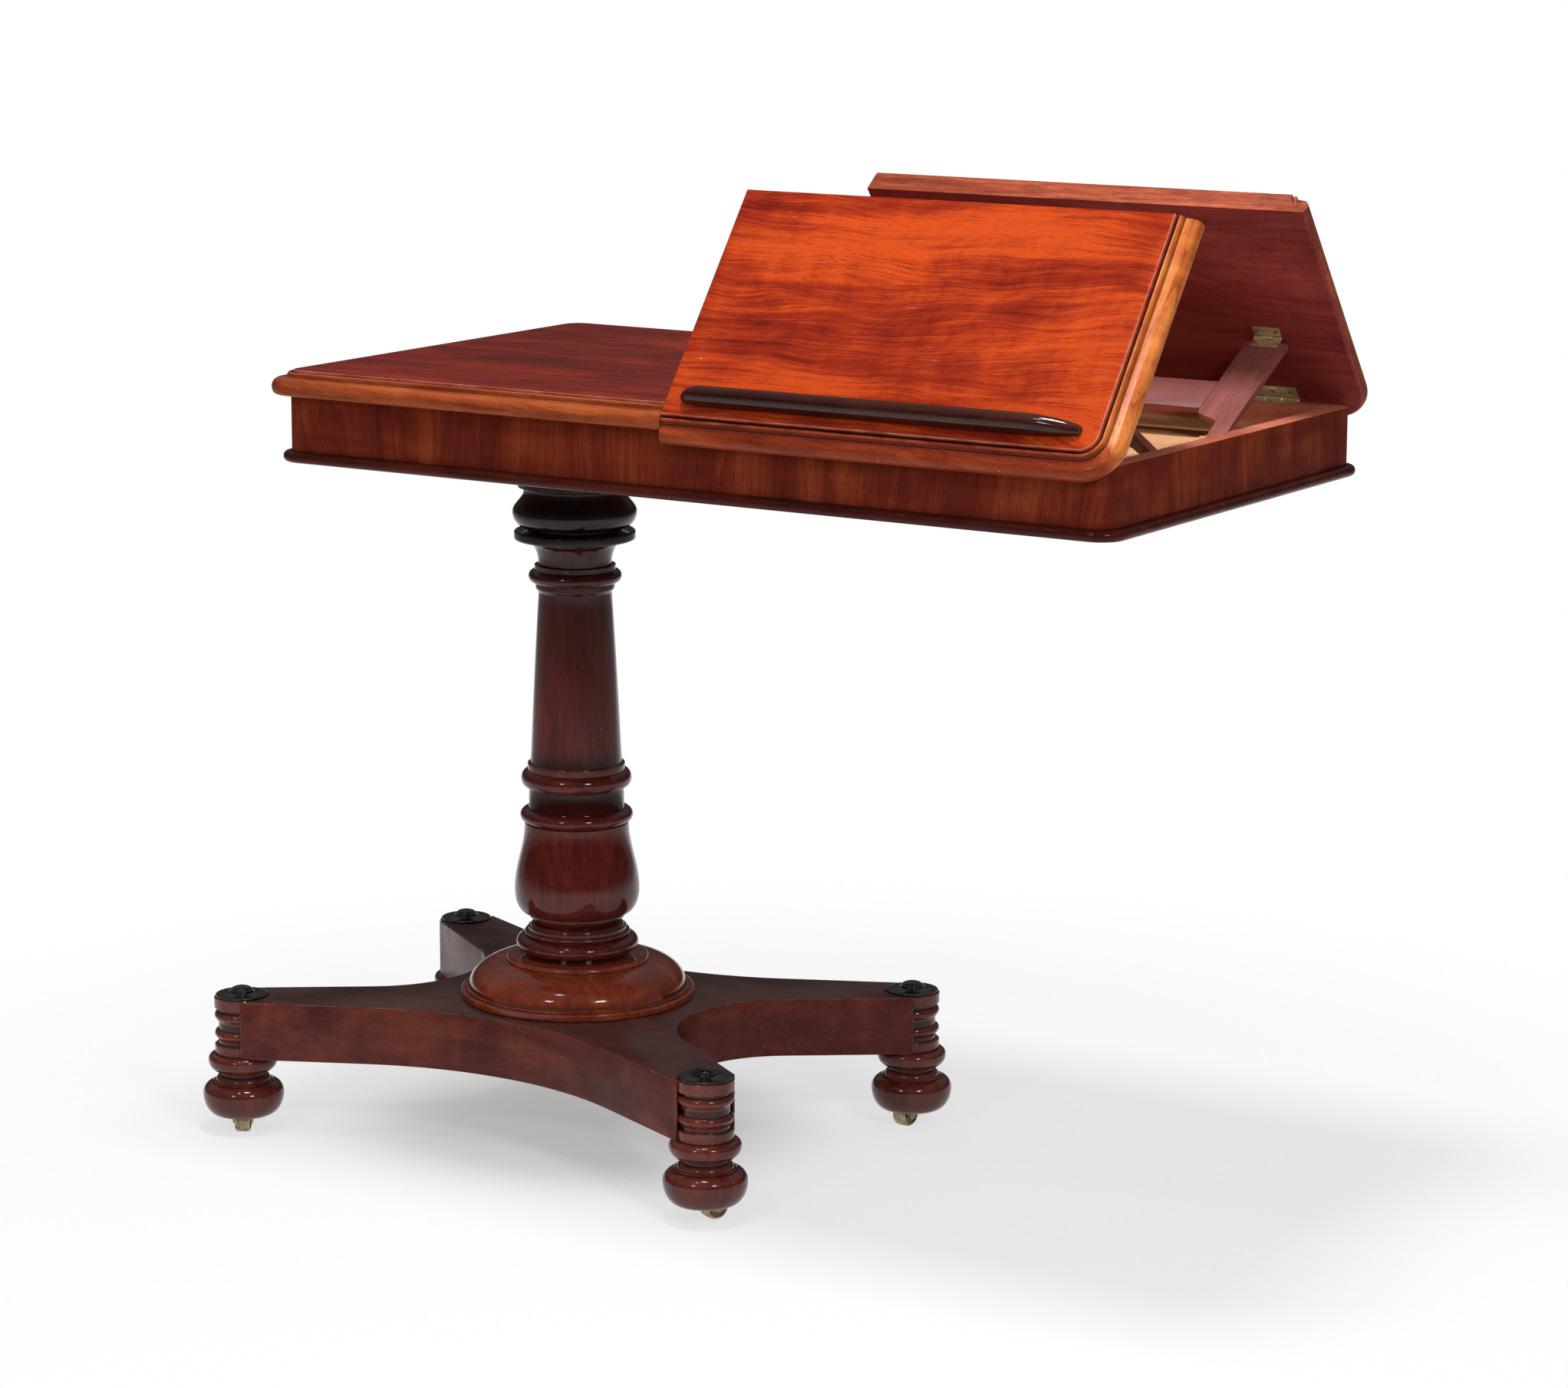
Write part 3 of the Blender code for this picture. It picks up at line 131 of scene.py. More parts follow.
# Props
PROP_PIVOT_UP = 0.0785
PROP_LENGTH = 0.146
PROP_THICKNESS = 0.006
PROP_LEG_WIDTH = 0.0405
PROP_FOOT_WIDTH = 0.017
PROP_FOOT_LENGTH = 0.021
PROP_OGEE = 0.015
PROP_RAIL_START = 0.066
PROP_RAIL_HEIGHT = 0.040
PROP_TIP = 0.0024
PROP_TIP_BEVEL = 0.009
PROP_END_MARGIN = 0.0255
PROP_TOP_START = 0.0035
PROP_EASE = 0.0005
PROP_UNFOLD = math.radians(82.6)

# Prop hinges
PROP_HINGE_LENGTH = 0.027
PROP_HINGE_WIDTH = 0.012
PROP_HINGE_THICKNESS = 0.0013
PROP_HINGE_BARREL = 0.0017
PROP_HINGE_PIN = 0.0008
PROP_HINGE_LIFT = 0.0004
PROP_DROP = PROP_HINGE_LIFT + PROP_HINGE_THICKNESS + SEAT_GAP
PIVOT_BELOW = RIM_GAP / 2 - PROP_DROP

# Screws: their places as shares of a leaf, and their heads
SCREW_ACROSS = 0.52
SCREW_ALONG = 0.375
SCREW_RADIUS = 0.0024
SMALL_SCREW_RADIUS = 0.0019
SCREW_HEIGHT = 0.00025
SCREW_TAPER = 0.82
SCREW_SLOT = 0.0005

# Base
ARM_HALF_WIDTH = 0.029
FRONT_HOLLOW = 0.0825
FRONT_HOLLOW_RADIUS = 0.328
END_HOLLOW = 0.147
END_HOLLOW_RADIUS = 0.105
POST_RADIUS = 0.0265
POST_EASE = 0.0008
PLATFORM_EASE = 0.0007

# Castors
WHEEL_RADIUS = 0.0125
WHEEL_WIDTH = 0.014
CASTOR_TRAIL = 0.009
AXLE_RADIUS = 0.0020
CHEEK_THICKNESS = 0.0018
CHEEK_WIDTH = 0.010
CHEEK_GAP = 0.0006
CHEEK_EASE = 0.0003
CROWN_RADIUS = 0.0125
CROWN_THICKNESS = 0.0024
CROWN_BITE = 0.001
STEM_RADIUS = 0.0038
STEM_LENGTH = 0.024
ROD_EASE = 0.18
CASTOR_WELL_RADIUS = 0.0220
CASTOR_WELL_TOP = 2 * WHEEL_RADIUS + 0.0010 + CROWN_THICKNESS + SEAT_GAP
CASTOR_TURNS = {
    "front_left": math.radians(-58.0),
    "front_right": math.radians(66.0),
    "rear_left": math.radians(150.0),
    "rear_right": math.radians(-96.0),
}

# Column
LOWER_TENON_RADIUS = 0.022
UPPER_TENON_RADIUS = 0.018
SHAFT_FOOT_RADIUS = 0.0434
SHAFT_NECK_RADIUS = 0.0348
SHAFT_HEAD_RADIUS = 0.0478
ENTASIS = 0.0004

# Fineness of the shapes
COLUMN_STEPS = 96
FOOT_STEPS = 64
SMALL_STEPS = 40
CORNER_POINTS = 14
CURVE_POINTS = 12
WELD = 0.000005
SHORTEST_STEP = 0.00004

SIDES = {"front": -1, "rear": 1}
HANDS = {"left": -1, "right": 1}

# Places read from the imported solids
frieze_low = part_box("front_frieze")[0]
frieze_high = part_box("rear_frieze")[1]
RIM = frieze_high.z
FRIEZE_BOTTOM = frieze_low.z
FRIEZE_HALF_DEPTH = frieze_high.y
board_low, board_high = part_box("bottom_board")
platform_low, platform_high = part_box("platform")
leaf_low, leaf_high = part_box("fixed_leaf")
well_low, well_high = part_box("well_floor")
COLUMN_X = sum(corner.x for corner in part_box("column_shaft")) / 2
SEAM_X = leaf_high.x + SEAM_GAP / 2
TOP_LEFT = leaf_low.x
TOP_RIGHT = frieze_high.x + RIGHT_OVERHANG
TOP_HALF_DEPTH = FRIEZE_HALF_DEPTH + TOP_OVERHANG
TOP_BOTTOM = RIM + RIM_GAP
WELL_LEFT = well_low.x - SEAT_GAP
WELL_RIGHT = well_high.x + SEAT_GAP
WELL_X = (WELL_LEFT + WELL_RIGHT) / 2
AXIS_Y = FRIEZE_HALF_DEPTH
AXIS_Z = RIM + RIM_GAP / 2
HINGE_X = (WELL_RIGHT - WELL_LEFT) / 2 - HINGE_END_MARGIN - HINGE_LENGTH / 2
PROP_OUTER_X = (WELL_RIGHT - WELL_LEFT) / 2 - PROP_END_MARGIN


def foot_place(name):
    """Where a foot's axis meets the floor."""
    low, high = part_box(f"foot_{name}")
    return Vector(((low.x + high.x) / 2, (low.y + high.y) / 2, 0))


FEET = {name: foot_place(name) for name in CASTOR_TURNS}


# Mesh tools


def mesh_from(shape, name):
    """A mesh from a bmesh, which is freed."""
    mesh = bpy.data.meshes.new(name)
    shape.to_mesh(mesh)
    shape.free()
    return mesh


def shape_from(mesh):
    """A bmesh from a mesh, welded and with its faces outwards."""
    shape = bmesh.new()
    shape.from_mesh(mesh)
    bmesh.ops.remove_doubles(shape, verts=shape.verts, dist=WELD)
    bmesh.ops.recalc_face_normals(shape, faces=shape.faces)
    return shape


def evaluated_mesh(thing, name):
    """The mesh of an object with its modifiers, welded; the object is removed."""
    bpy.context.view_layer.update()
    graph = bpy.context.evaluated_depsgraph_get()
    made = bpy.data.meshes.new_from_object(thing.evaluated_get(graph))
    bpy.data.objects.remove(thing, do_unlink=True)
    mesh = mesh_from(shape_from(made), name)
    for material in made.materials:
        mesh.materials.append(material)
    return mesh


def helper(mesh):
    """A passing object that carries modifiers until its mesh is taken."""
    thing = bpy.data.objects.new("helper", mesh)
    bpy.context.scene.collection.objects.link(thing)
    return thing


def combined(mesh, others, operation, name):
    """A solid joined with others, or cut by them."""
    thing = helper(mesh)
    tools = [helper(other) for other in others]
    for tool in tools:
        boolean = thing.modifiers.new("combine", "BOOLEAN")
        boolean.operation = operation
        boolean.solver = "EXACT"
        boolean.object = tool
    result = evaluated_mesh(thing, name)
    for tool in tools:
        bpy.data.objects.remove(tool, do_unlink=True)
    return result


def moved(mesh, matrix):
    """A copy of a mesh in another place."""
    copy = mesh.copy()
    copy.transform(matrix)
    return copy


def arc(centre, radius, start, end, count):
    """Points on a circle from one angle to another, in degrees, both ends included."""
    angles = [math.radians(start + (end - start) * i / count) for i in range(count + 1)]
    return [(centre[0] + radius * math.cos(a), centre[1] + radius * math.sin(a)) for a in angles]


def rectangle(low, high, radii, count=CORNER_POINTS):
    """A rectangle's outline, anticlockwise from its low corner, with a radius for each corner."""
    corners = [low, (high[0], low[1]), high, (low[0], high[1])]
    inwards = [(1, 1), (-1, 1), (-1, -1), (1, -1)]
    outline = []
    for i, (corner, inward, radius) in enumerate(zip(corners, inwards, radii)):
        if radius:
            centre = (corner[0] + inward[0] * radius, corner[1] + inward[1] * radius)
            outline += arc(centre, radius, 180 + 90 * i, 270 + 90 * i, count)
        else:
            outline.append(corner)
    return outline


def ease(start, end, count=CURVE_POINTS):
    """A double curve that is upright at both ends."""
    steps = [i / count for i in range(count + 1)]
    wide, tall = end[0] - start[0], end[1] - start[1]
    return [(start[0] + wide * (1 - math.cos(math.pi * s)) / 2, start[1] + tall * s) for s in steps]


def round_out(start, end, count=CURVE_POINTS):
    """A quarter ellipse that leaves start level and reaches end upright."""
    angles = [math.pi / 2 * i / count for i in range(count + 1)]
    wide, tall = end[0] - start[0], end[1] - start[1]
    return [(start[0] + wide * math.sin(a), start[1] + tall * (1 - math.cos(a))) for a in angles]


def round_in(start, end, count=CURVE_POINTS):
    """A quarter ellipse that leaves start upright and reaches end level."""
    angles = [math.pi / 2 * i / count for i in range(count + 1)]
    wide, tall = end[0] - start[0], end[1] - start[1]
    return [(start[0] + wide * (1 - math.cos(a)), start[1] + tall * math.sin(a)) for a in angles]


def lofted(rings, closed=False):
    """A solid from outlines of equal count, with flat ends unless it closes on itself."""
    shape = bmesh.new()
    levels = [[shape.verts.new(point) for point in ring] for ring in rings]
    pairs = list(zip(levels, levels[1:]))
    if closed:
        pairs.append((levels[-1], levels[0]))
    for lower, upper in pairs:
        for i, vert in enumerate(lower):
            shape.faces.new((lower[i - 1], vert, upper[i], upper[i - 1]))
    if not closed:
        shape.faces.new(levels[0][::-1])
        shape.faces.new(levels[-1])
    bmesh.ops.recalc_face_normals(shape, faces=shape.faces)
    return shape


def prism(outline, low, high):
    """An outline in plan as a solid between two heights."""
    return lofted([[(x, y, z) for x, y in outline] for z in (low, high)])


def inset_ring(low, high, inset, radius, height):
    """A rectangle with round corners, set in from its bounds, as points at one height."""
    lower, upper = (low[0] + inset, low[1] + inset), (high[0] - inset, high[1] - inset)
    return [(x, y, height) for x, y in rectangle(lower, upper, [radius] * 4)]


def block(low, high):
    """A box from its lowest to its highest corner."""
    return prism(rectangle(low[:2], high[:2], (0, 0, 0, 0)), low[2], high[2])


def eased_edges(shape, width, sharpest=35.0, segments=2):
    """Rounds a solid's sharp edges a little and marks the rounded faces as crests."""
    crest = shape.faces.layers.float.new("crest")
    limit = math.radians(sharpest)
    edges = [e for e in shape.edges if e.is_manifold and e.calc_face_angle(0) > limit]
    made = bmesh.ops.bevel(
        shape,
        geom=edges,
        offset=width,
        offset_type="OFFSET",
        segments=segments,
        profile=0.5,
        affect="EDGES",
        clamp_overlap=True,
    )
    for face in made["faces"]:
        face[crest] = EASED_CREST
    return shape


# What the finishes read from a mesh: its grain and its crests

GRAIN_ORDER = {"x": (0, 1, 2), "y": (1, 2, 0), "z": (2, 0, 1)}
CREST_REACH = 0.004
EASED_CREST = 0.7


def lay_grain(mesh, along, shift):
    """Stores where each point lies in its own board: the first number runs along the grain."""
    order = GRAIN_ORDER[along]
    layer = mesh.attributes.new("grain", "FLOAT_VECTOR", "POINT")
    for vertex, value in zip(mesh.vertices, layer.data):
        value.vector = [vertex.co[i] + s for i, s in zip(order, shift)]


def curve_at(vert):
    """How much the surface bends at a point: the inverse of a radius, above zero where it is proud."""
    total = 0.0
    for edge in vert.link_edges:
        step = vert.co - edge.other_vert(vert).co
        total += vert.normal.dot(step) / max(step.length_squared, 1e-12)
    return 2 * total / max(len(vert.link_edges), 1)


def lay_crest(shape):
    """Stores how proud or hollow a fine surface is at each point, from -1 in a quirk to 1 on a crest."""
    shape.normal_update()
    crest = shape.verts.layers.float.new("crest")
    raw = {vert: max(-1.0, min(1.0, CREST_REACH * curve_at(vert) / 2)) for vert in shape.verts}
    for vert, value in raw.items():
        near = [raw[edge.other_vert(vert)] for edge in vert.link_edges]
        vert[crest] = (value + sum(near) / max(len(near), 1)) / 2


def smoothed(mesh, angle=32.0):
    """Shades a mesh smooth, but for its edges that are sharper than an angle."""
    for polygon in mesh.polygons:
        polygon.use_smooth = True
    mesh.set_sharp_from_angle(angle=math.radians(angle))
    return mesh


def piece(name, mesh, finish, body, along, shift=(0, 0, 0), place=None, nodes=None):
    """A finished piece: its grain laid, its place put into its mesh, riding on its body.

    It stands for the CAD node of its own name unless other nodes are given.
    """
    lay_grain(mesh, along, shift)
    if place is not None:
        mesh.transform(place)
    if not mesh.materials:
        mesh.materials.append(finish)
    smoothed(mesh)
    mesh.name = name
    made = bpy.data.objects.new(name, mesh)
    bpy.context.scene.collection.objects.link(made)
    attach(made, body)
    nodes = [name] if nodes is None else nodes
    if nodes:
        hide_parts(*nodes)


# Node trees


class Tree:
    """A thin hand on a node tree: makes nodes, sets their inputs and links them."""

    def __init__(self, tree):
        self.tree = tree

    def add(self, kind, settings=None, **inputs):
        """A node with its settings, and its inputs linked or set by name with _ for a space."""
        node = self.tree.nodes.new(kind)
        for key, value in (settings or {}).items():
            setattr(node, key, value)
        for key, value in inputs.items():
            self.feed(node.inputs[key.replace("_", " ")], value)
        return node

    def feed(self, socket, value):
        if isinstance(value, bpy.types.NodeSocket):
            self.tree.links.new(value, socket)
        else:
            socket.default_value = value

    def maths(self, operation, first, second=0.0, clamp=False):
        node = self.add("ShaderNodeMath", {"operation": operation, "use_clamp": clamp})
        self.feed(node.inputs[0], first)
        self.feed(node.inputs[1], second)
        return node.outputs[0]

    def times(self, first, second, clamp=False):
        return self.maths("MULTIPLY", first, second, clamp)

    def plus(self, first, second):
        return self.maths("ADD", first, second)

    def minus(self, first, second):
        return self.maths("SUBTRACT", first, second)

    def larger(self, first, second):
        return self.maths("MAXIMUM", first, second)

    def smaller(self, first, second):
        return self.maths("MINIMUM", first, second)

    def parts(self, vector):
        """The X, Y and Z of a vector."""
        return self.add("ShaderNodeSeparateXYZ", Vector=vector).outputs

    def spread(self, value, low, high, to_low=0.0, to_high=1.0, kind="LINEAR"):
        """A value mapped from one range to another and held inside it."""
        node = self.add("ShaderNodeMapRange", {"interpolation_type": kind})
        self.feed(node.inputs["Value"], value)
        for name, number in zip(("From Min", "From Max", "To Min", "To Max"), (low, high, to_low, to_high)):
            self.feed(node.inputs[name], number)
        return node.outputs["Result"]

    def vectors(self, operation, first, second):
        node = self.add("ShaderNodeVectorMath", {"operation": operation})
        self.feed(node.inputs[0], first)
        self.feed(node.inputs[1], second)
        return node.outputs["Value" if operation in ("LENGTH", "DOT_PRODUCT") else "Vector"]

    def mixed(self, factor, first, second, blend="MIX"):
        """One colour laid over another."""
        node = self.add("ShaderNodeMix", {"data_type": "RGBA", "blend_type": blend, "clamp_factor": True})
        self.feed(node.inputs["Factor"], factor)
        self.feed(node.inputs[6], first)
        self.feed(node.inputs[7], second)
        return node.outputs[2]

    def stretched(self, vector, scale, place=(0, 0, 0), turn=(0, 0, 0)):
        node = self.add("ShaderNodeMapping", {"vector_type": "POINT"}, Vector=vector, Scale=scale)
        self.feed(node.inputs["Location"], place)
        self.feed(node.inputs["Rotation"], turn)
        return node.outputs["Vector"]

    def noise(self, vector, detail=4.0, roughness=0.55, twist=0.0, output=0):
        node = self.add("ShaderNodeTexNoise", {"noise_dimensions": "3D"}, Vector=vector, Scale=1.0)
        self.feed(node.inputs["Detail"], detail)
        self.feed(node.inputs["Roughness"], roughness)
        self.feed(node.inputs["Distortion"], twist)
        return node.outputs[output]


def new_group(name, kind, inputs, outputs):
    """A node group with named sockets: its tree hand, and what it is given and what it makes by name."""
    group = bpy.data.node_groups.new(name, kind)
    for direction, sockets in (("INPUT", inputs), ("OUTPUT", outputs)):
        for socket_name, socket_type, value in sockets:
            socket = group.interface.new_socket(socket_name, in_out=direction, socket_type=socket_type)
            if value is not None:
                socket.default_value = value
    hand = Tree(group)
    return hand, hand.add("NodeGroupInput").outputs, hand.add("NodeGroupOutput").inputs


def socket_key(group, name):
    """The identifier that a modifier knows an input by."""
    return next(item.identifier for item in group.interface.items_tree if item.name == name)


def grown(group, mesh, inputs, name):
    """A plain mesh from a Geometry Nodes tree on a base mesh, with the tree's inputs set by name."""
    thing = helper(mesh)
    modifier = thing.modifiers.new(group.name, "NODES")
    modifier.node_group = group
    for key, value in inputs.items():
        modifier[socket_key(group, key)] = value
    return evaluated_mesh(thing, name)


GEOMETRY = "NodeSocketGeometry"
MATERIAL = "NodeSocketMaterial"
FLOAT = "NodeSocketFloat"
COLOUR = "NodeSocketColor"
VECTOR = "NodeSocketVector"
WHOLE = "NodeSocketInt"


def turning_tree():
    """Turns a profile of radii and heights, drawn as a chain of points, round the local Z axis."""
    inputs = [("Profile", GEOMETRY, None), ("Steps", WHOLE, 48), ("Finish", MATERIAL, None)]
    hand, given, made = new_group("turning", "GeometryNodeTree", inputs, [("Turned", GEOMETRY, None)])
    size = hand.add("GeometryNodeAttributeDomainSize", Geometry=given["Profile"])
    rows = size.outputs["Point Count"]
    columns = hand.plus(given["Steps"], 1)
    sheet = hand.add("GeometryNodeMeshGrid", Vertices_X=columns, Vertices_Y=rows, Size_X=1.0, Size_Y=1.0)
    place = hand.parts(hand.add("GeometryNodeInputPosition").outputs[0])
    angle = hand.times(hand.plus(place["X"], 0.5), math.tau)
    share = hand.plus(place["Y"], 0.5)
    row = hand.maths("ROUND", hand.times(share, hand.minus(rows, 1)))
    kind = {"data_type": "FLOAT_VECTOR", "domain": "POINT"}
    along = hand.add("GeometryNodeInputPosition").outputs[0]
    sample = hand.add("GeometryNodeSampleIndex", kind, Geometry=given["Profile"], Value=along, Index=row)
    point = hand.parts(sample.outputs["Value"])
    across = hand.times(point["X"], hand.maths("COSINE", angle))
    away = hand.times(point["X"], hand.maths("SINE", angle))
    target = hand.add("ShaderNodeCombineXYZ", X=across, Y=away, Z=point["Z"])
    bent = hand.add("GeometryNodeSetPosition", Geometry=sheet.outputs["Mesh"], Position=target.outputs[0])
    welded = hand.add("GeometryNodeMergeByDistance", Geometry=bent.outputs[0], Distance=WELD)
    whole = hand.add("GeometryNodeRealizeInstances", Geometry=welded.outputs[0])
    done = hand.add("GeometryNodeSetMaterial", Geometry=whole.outputs[0], Material=given["Finish"])
    hand.feed(made["Turned"], done.outputs[0])
    return hand.tree


TURNING = turning_tree()


def turned(name, profile, finish, steps, ring=False):
    """A turned solid from its profile, which runs along its outer side; a ring closes on itself."""
    points = [profile[0]]
    for point in profile[1:]:
        if math.dist(point, points[-1]) > SHORTEST_STEP:
            points.append(point)
    if ring:
        points.append(points[0])
    line = bpy.data.meshes.new(name)
    line.from_pydata([(radius, 0, height) for radius, height in points], [], [])
    mesh = grown(TURNING, line, {"Steps": steps, "Finish": finish}, name)
    shape = shape_from(mesh)
    lay_crest(shape)
    shape.to_mesh(mesh)
    shape.free()
    return mesh


# Finishes


FIGURE_COLOURS = ("Dark", "Middle", "Light")
FIGURE_DEFAULTS = {
    "Rings": 0.3,
    "Ring Count": 140.0,
    "Clouds": 0.5,
    "Streaks": 0.3,
    "Ripple": 0.1,
    "Pith Depth": 0.07,
    "Pith Side": 0.0,
    "Pith Lean": 0.0,
}
GRAIN_DRIFT = 0.12
RING_WANDER = 0.09
RING_SHAKE = 0.006
PORE_DARKNESS = 0.55
MITRE_BLEND = 0.012
LINE_BLUR = 0.0003
# Width of the pale line on the field's edge: a rubbed edge and a painted highlight
WORN_HIGHLIGHT_WIDTH = 0.0006


def figure_group():
    """The figure of a board: rings about a pith below the face, clouds, fibre streaks and open pores."""
    inputs = [("Grain", VECTOR, None)] + [(name, COLOUR, None) for name in FIGURE_COLOURS]
    inputs += [(name, FLOAT, value) for name, value in FIGURE_DEFAULTS.items()] + [("Lift", FLOAT, 0.0)]
    outputs = [("Colour", COLOUR, None), ("Figure", FLOAT, None), ("Pores", FLOAT, None)]
    hand, given, made = new_group("timber_figure", "ShaderNodeTree", inputs, outputs)
    grain = given["Grain"]
    bend = hand.noise(hand.stretched(grain, (2.2, 6.0, 6.0)), 3.0, 0.5)
    wave = hand.noise(hand.stretched(grain, (9.0, 30.0, 30.0)), 3.0, 0.55)
    drift = hand.times(hand.minus(bend, 0.5), GRAIN_DRIFT)
    flow = hand.vectors("ADD", grain, hand.add("ShaderNodeCombineXYZ", Y=drift).outputs[0])
    place = hand.parts(grain)
    across = hand.minus(place["Y"], given["Pith Side"])
    deep = hand.plus(place["Z"], given["Pith Depth"])
    deep = hand.plus(deep, hand.times(place["X"], given["Pith Lean"]))
    squared = hand.plus(hand.times(across, across), hand.times(deep, deep))
    lean = hand.times(hand.minus(bend, 0.5), RING_WANDER)
    shake = hand.times(hand.minus(wave, 0.5), RING_SHAKE)
    radius = hand.plus(hand.plus(hand.maths("SQRT", squared), lean), shake)
    phase = hand.maths("FRACT", hand.times(radius, given["Ring Count"]))
    ring = hand.minus(1.0, hand.maths("POWER", phase, 3.0))
    cloud = hand.noise(hand.stretched(flow, (6.0, 22.0, 22.0), (3.1, 1.7, 0.4)), 6.0, 0.6, twist=0.8)
    cloud = hand.spread(cloud, 0.32, 0.68)
    broad = hand.noise(hand.stretched(flow, (5.0, 150.0, 150.0)), 4.0, 0.6)
    fine = hand.noise(hand.stretched(flow, (16.0, 820.0, 820.0)), 2.0, 0.5)
    streak = hand.plus(broad, hand.times(fine, 0.8))
    streak = hand.spread(streak, 0.60, 1.20)
    ripple = hand.noise(hand.stretched(grain, (55.0, 9.0, 9.0)), 2.0, 0.5, twist=0.3)
    ripple = hand.spread(ripple, 0.3, 0.7)
    value = hand.plus(given["Lift"], 0.5)
    for part, share in ((ring, "Rings"), (cloud, "Clouds"), (streak, "Streaks"), (ripple, "Ripple")):
        swing = hand.times(hand.minus(part, 0.5), given[share])
        value = hand.plus(value, swing)
    value = hand.smaller(hand.larger(value, 0.0), 1.0)
    lower = hand.spread(value, 0.0, 0.5)
    upper = hand.spread(value, 0.5, 1.0)
    colour = hand.mixed(lower, given["Dark"], given["Middle"])
    colour = hand.mixed(upper, colour, given["Light"])
    dashes = hand.noise(hand.stretched(flow, (130.0, 1500.0, 1500.0)), 1.0, 0.4)
    pores = hand.spread(dashes, 0.62, 0.70)
    dark_pore = hand.mixed(hand.times(pores, PORE_DARKNESS), colour, given["Dark"])
    for key, result in (("Colour", dark_pore), ("Figure", value), ("Pores", pores)):
        hand.feed(made[key], result)
    return hand.tree


def wear_group():
    """Age on a polished surface: rubbed crests, wax in the hollows, specks, scratches and dull patches."""
    inputs = [("Grain", VECTOR, None), ("Crest", FLOAT, 0.0), ("Rub", FLOAT, 0.5)]
    inputs += [("Wax", FLOAT, 0.8), ("Specks", FLOAT, 0.5)]
    outputs = [(name, FLOAT, None) for name in ("Rubbed", "Waxed", "Flecks", "Dull")]
    hand, given, made = new_group("polish_wear", "ShaderNodeTree", inputs, outputs)
    grain = given["Grain"]
    patch = hand.noise(hand.stretched(grain, (60.0, 60.0, 60.0)), 4.0, 0.6)
    broken = hand.spread(patch, 0.42, 0.62)
    proud = hand.spread(given["Crest"], 0.25, 0.85)
    rubbed = hand.times(hand.times(proud, broken), given["Rub"])
    hollow = hand.spread(hand.times(given["Crest"], -1.0), 0.08, 0.6)
    waxed = hand.times(hollow, given["Wax"], clamp=True)
    cells = hand.stretched(grain, (60.0, 95.0, 95.0))
    dots = hand.add("ShaderNodeTexVoronoi", {"feature": "F1"}, Vector=cells, Scale=1.0, Randomness=1.0)
    chance = hand.add("ShaderNodeSeparateColor", Color=dots.outputs["Color"])
    rare = hand.maths("GREATER_THAN", chance.outputs[0], 0.86)
    dot = hand.spread(dots.outputs["Distance"], 0.03, 0.055, 1.0, 0.0)
    scratch = hand.noise(hand.stretched(grain, (35.0, 900.0, 900.0), turn=(0, 0, 0.55)), 2.0, 0.5)
    scratch = hand.spread(scratch, 0.765, 0.785)
    flecks = hand.larger(hand.times(dot, rare), hand.times(scratch, 0.3))
    flecks = hand.times(flecks, given["Specks"], clamp=True)
    cloud = hand.noise(hand.stretched(grain, (14.0, 14.0, 14.0), (5.0, 2.0, 1.0)), 5.0, 0.6)
    dull = hand.spread(cloud, 0.35, 0.7)
    for key, value in (("Rubbed", rubbed), ("Waxed", waxed), ("Flecks", flecks), ("Dull", dull)):
        hand.feed(made[key], value)
    return hand.tree


def bands_group():
    """Where the moulded strips, the quirk and the field's rubbed edge with its painted highlight line lie on
    the top.
    """
    inputs = [("Place", VECTOR, None), ("Inset", FLOAT, 0.0), ("Left", FLOAT, 0.0), ("Right", FLOAT, 1.0)]
    inputs += [("Half Depth", FLOAT, 0.5), ("Quirk Start", FLOAT, 0.018), ("Quirk End", FLOAT, 0.020)]
    outputs = [(name, FLOAT, None) for name in ("End", "Side", "Quirk", "Worn Highlight")]
    hand, given, made = new_group("moulded_bands", "ShaderNodeTree", inputs, outputs)
    inset, first, last = (given[name] for name in ("Inset", "Quirk Start", "Quirk End"))
    place = hand.parts(given["Place"])
    right = hand.minus(given["Right"], place["X"])
    left = hand.minus(place["X"], given["Left"])
    from_end = hand.smaller(right, left)
    from_side = hand.minus(given["Half Depth"], hand.maths("ABSOLUTE", place["Y"]))
    nearer = hand.minus(from_side, from_end)
    mitre = hand.spread(nearer, -MITRE_BLEND, 2 * MITRE_BLEND, kind="SMOOTHSTEP")
    strip = hand.spread(hand.minus(last, inset), 0.0, LINE_BLUR)
    hand.feed(made["End"], hand.times(strip, mitre))
    hand.feed(made["Side"], hand.times(strip, hand.minus(1.0, mitre)))
    inside = hand.spread(hand.minus(inset, first), -LINE_BLUR, 0.0)
    hand.feed(made["Quirk"], hand.times(strip, inside))
    beyond = hand.minus(inset, last)
    from_worn_highlight = hand.maths("ABSOLUTE", hand.minus(beyond, WORN_HIGHLIGHT_WIDTH))
    hand.feed(made["Worn Highlight"], hand.spread(from_worn_highlight, 0.0, WORN_HIGHLIGHT_WIDTH, 1.0, 0.0))
    return hand.tree


QUIRK_SHARE = 0.8
# The quirk is painted near black: dark wax in it, and painted shade for the shadow in the narrow groove
QUIRK_WAX_AND_PAINTED_SHADE = (0.006, 0.003, 0.002)
QUIRK_COVER = 0.93
# Colour of the pale line on the field's edge: rubbed polish and a painted highlight
RUBBED_EDGE_AND_PAINTED_HIGHLIGHT = (0.72, 0.34, 0.22)
FLECK_COLOUR = (0.80, 0.62, 0.50)
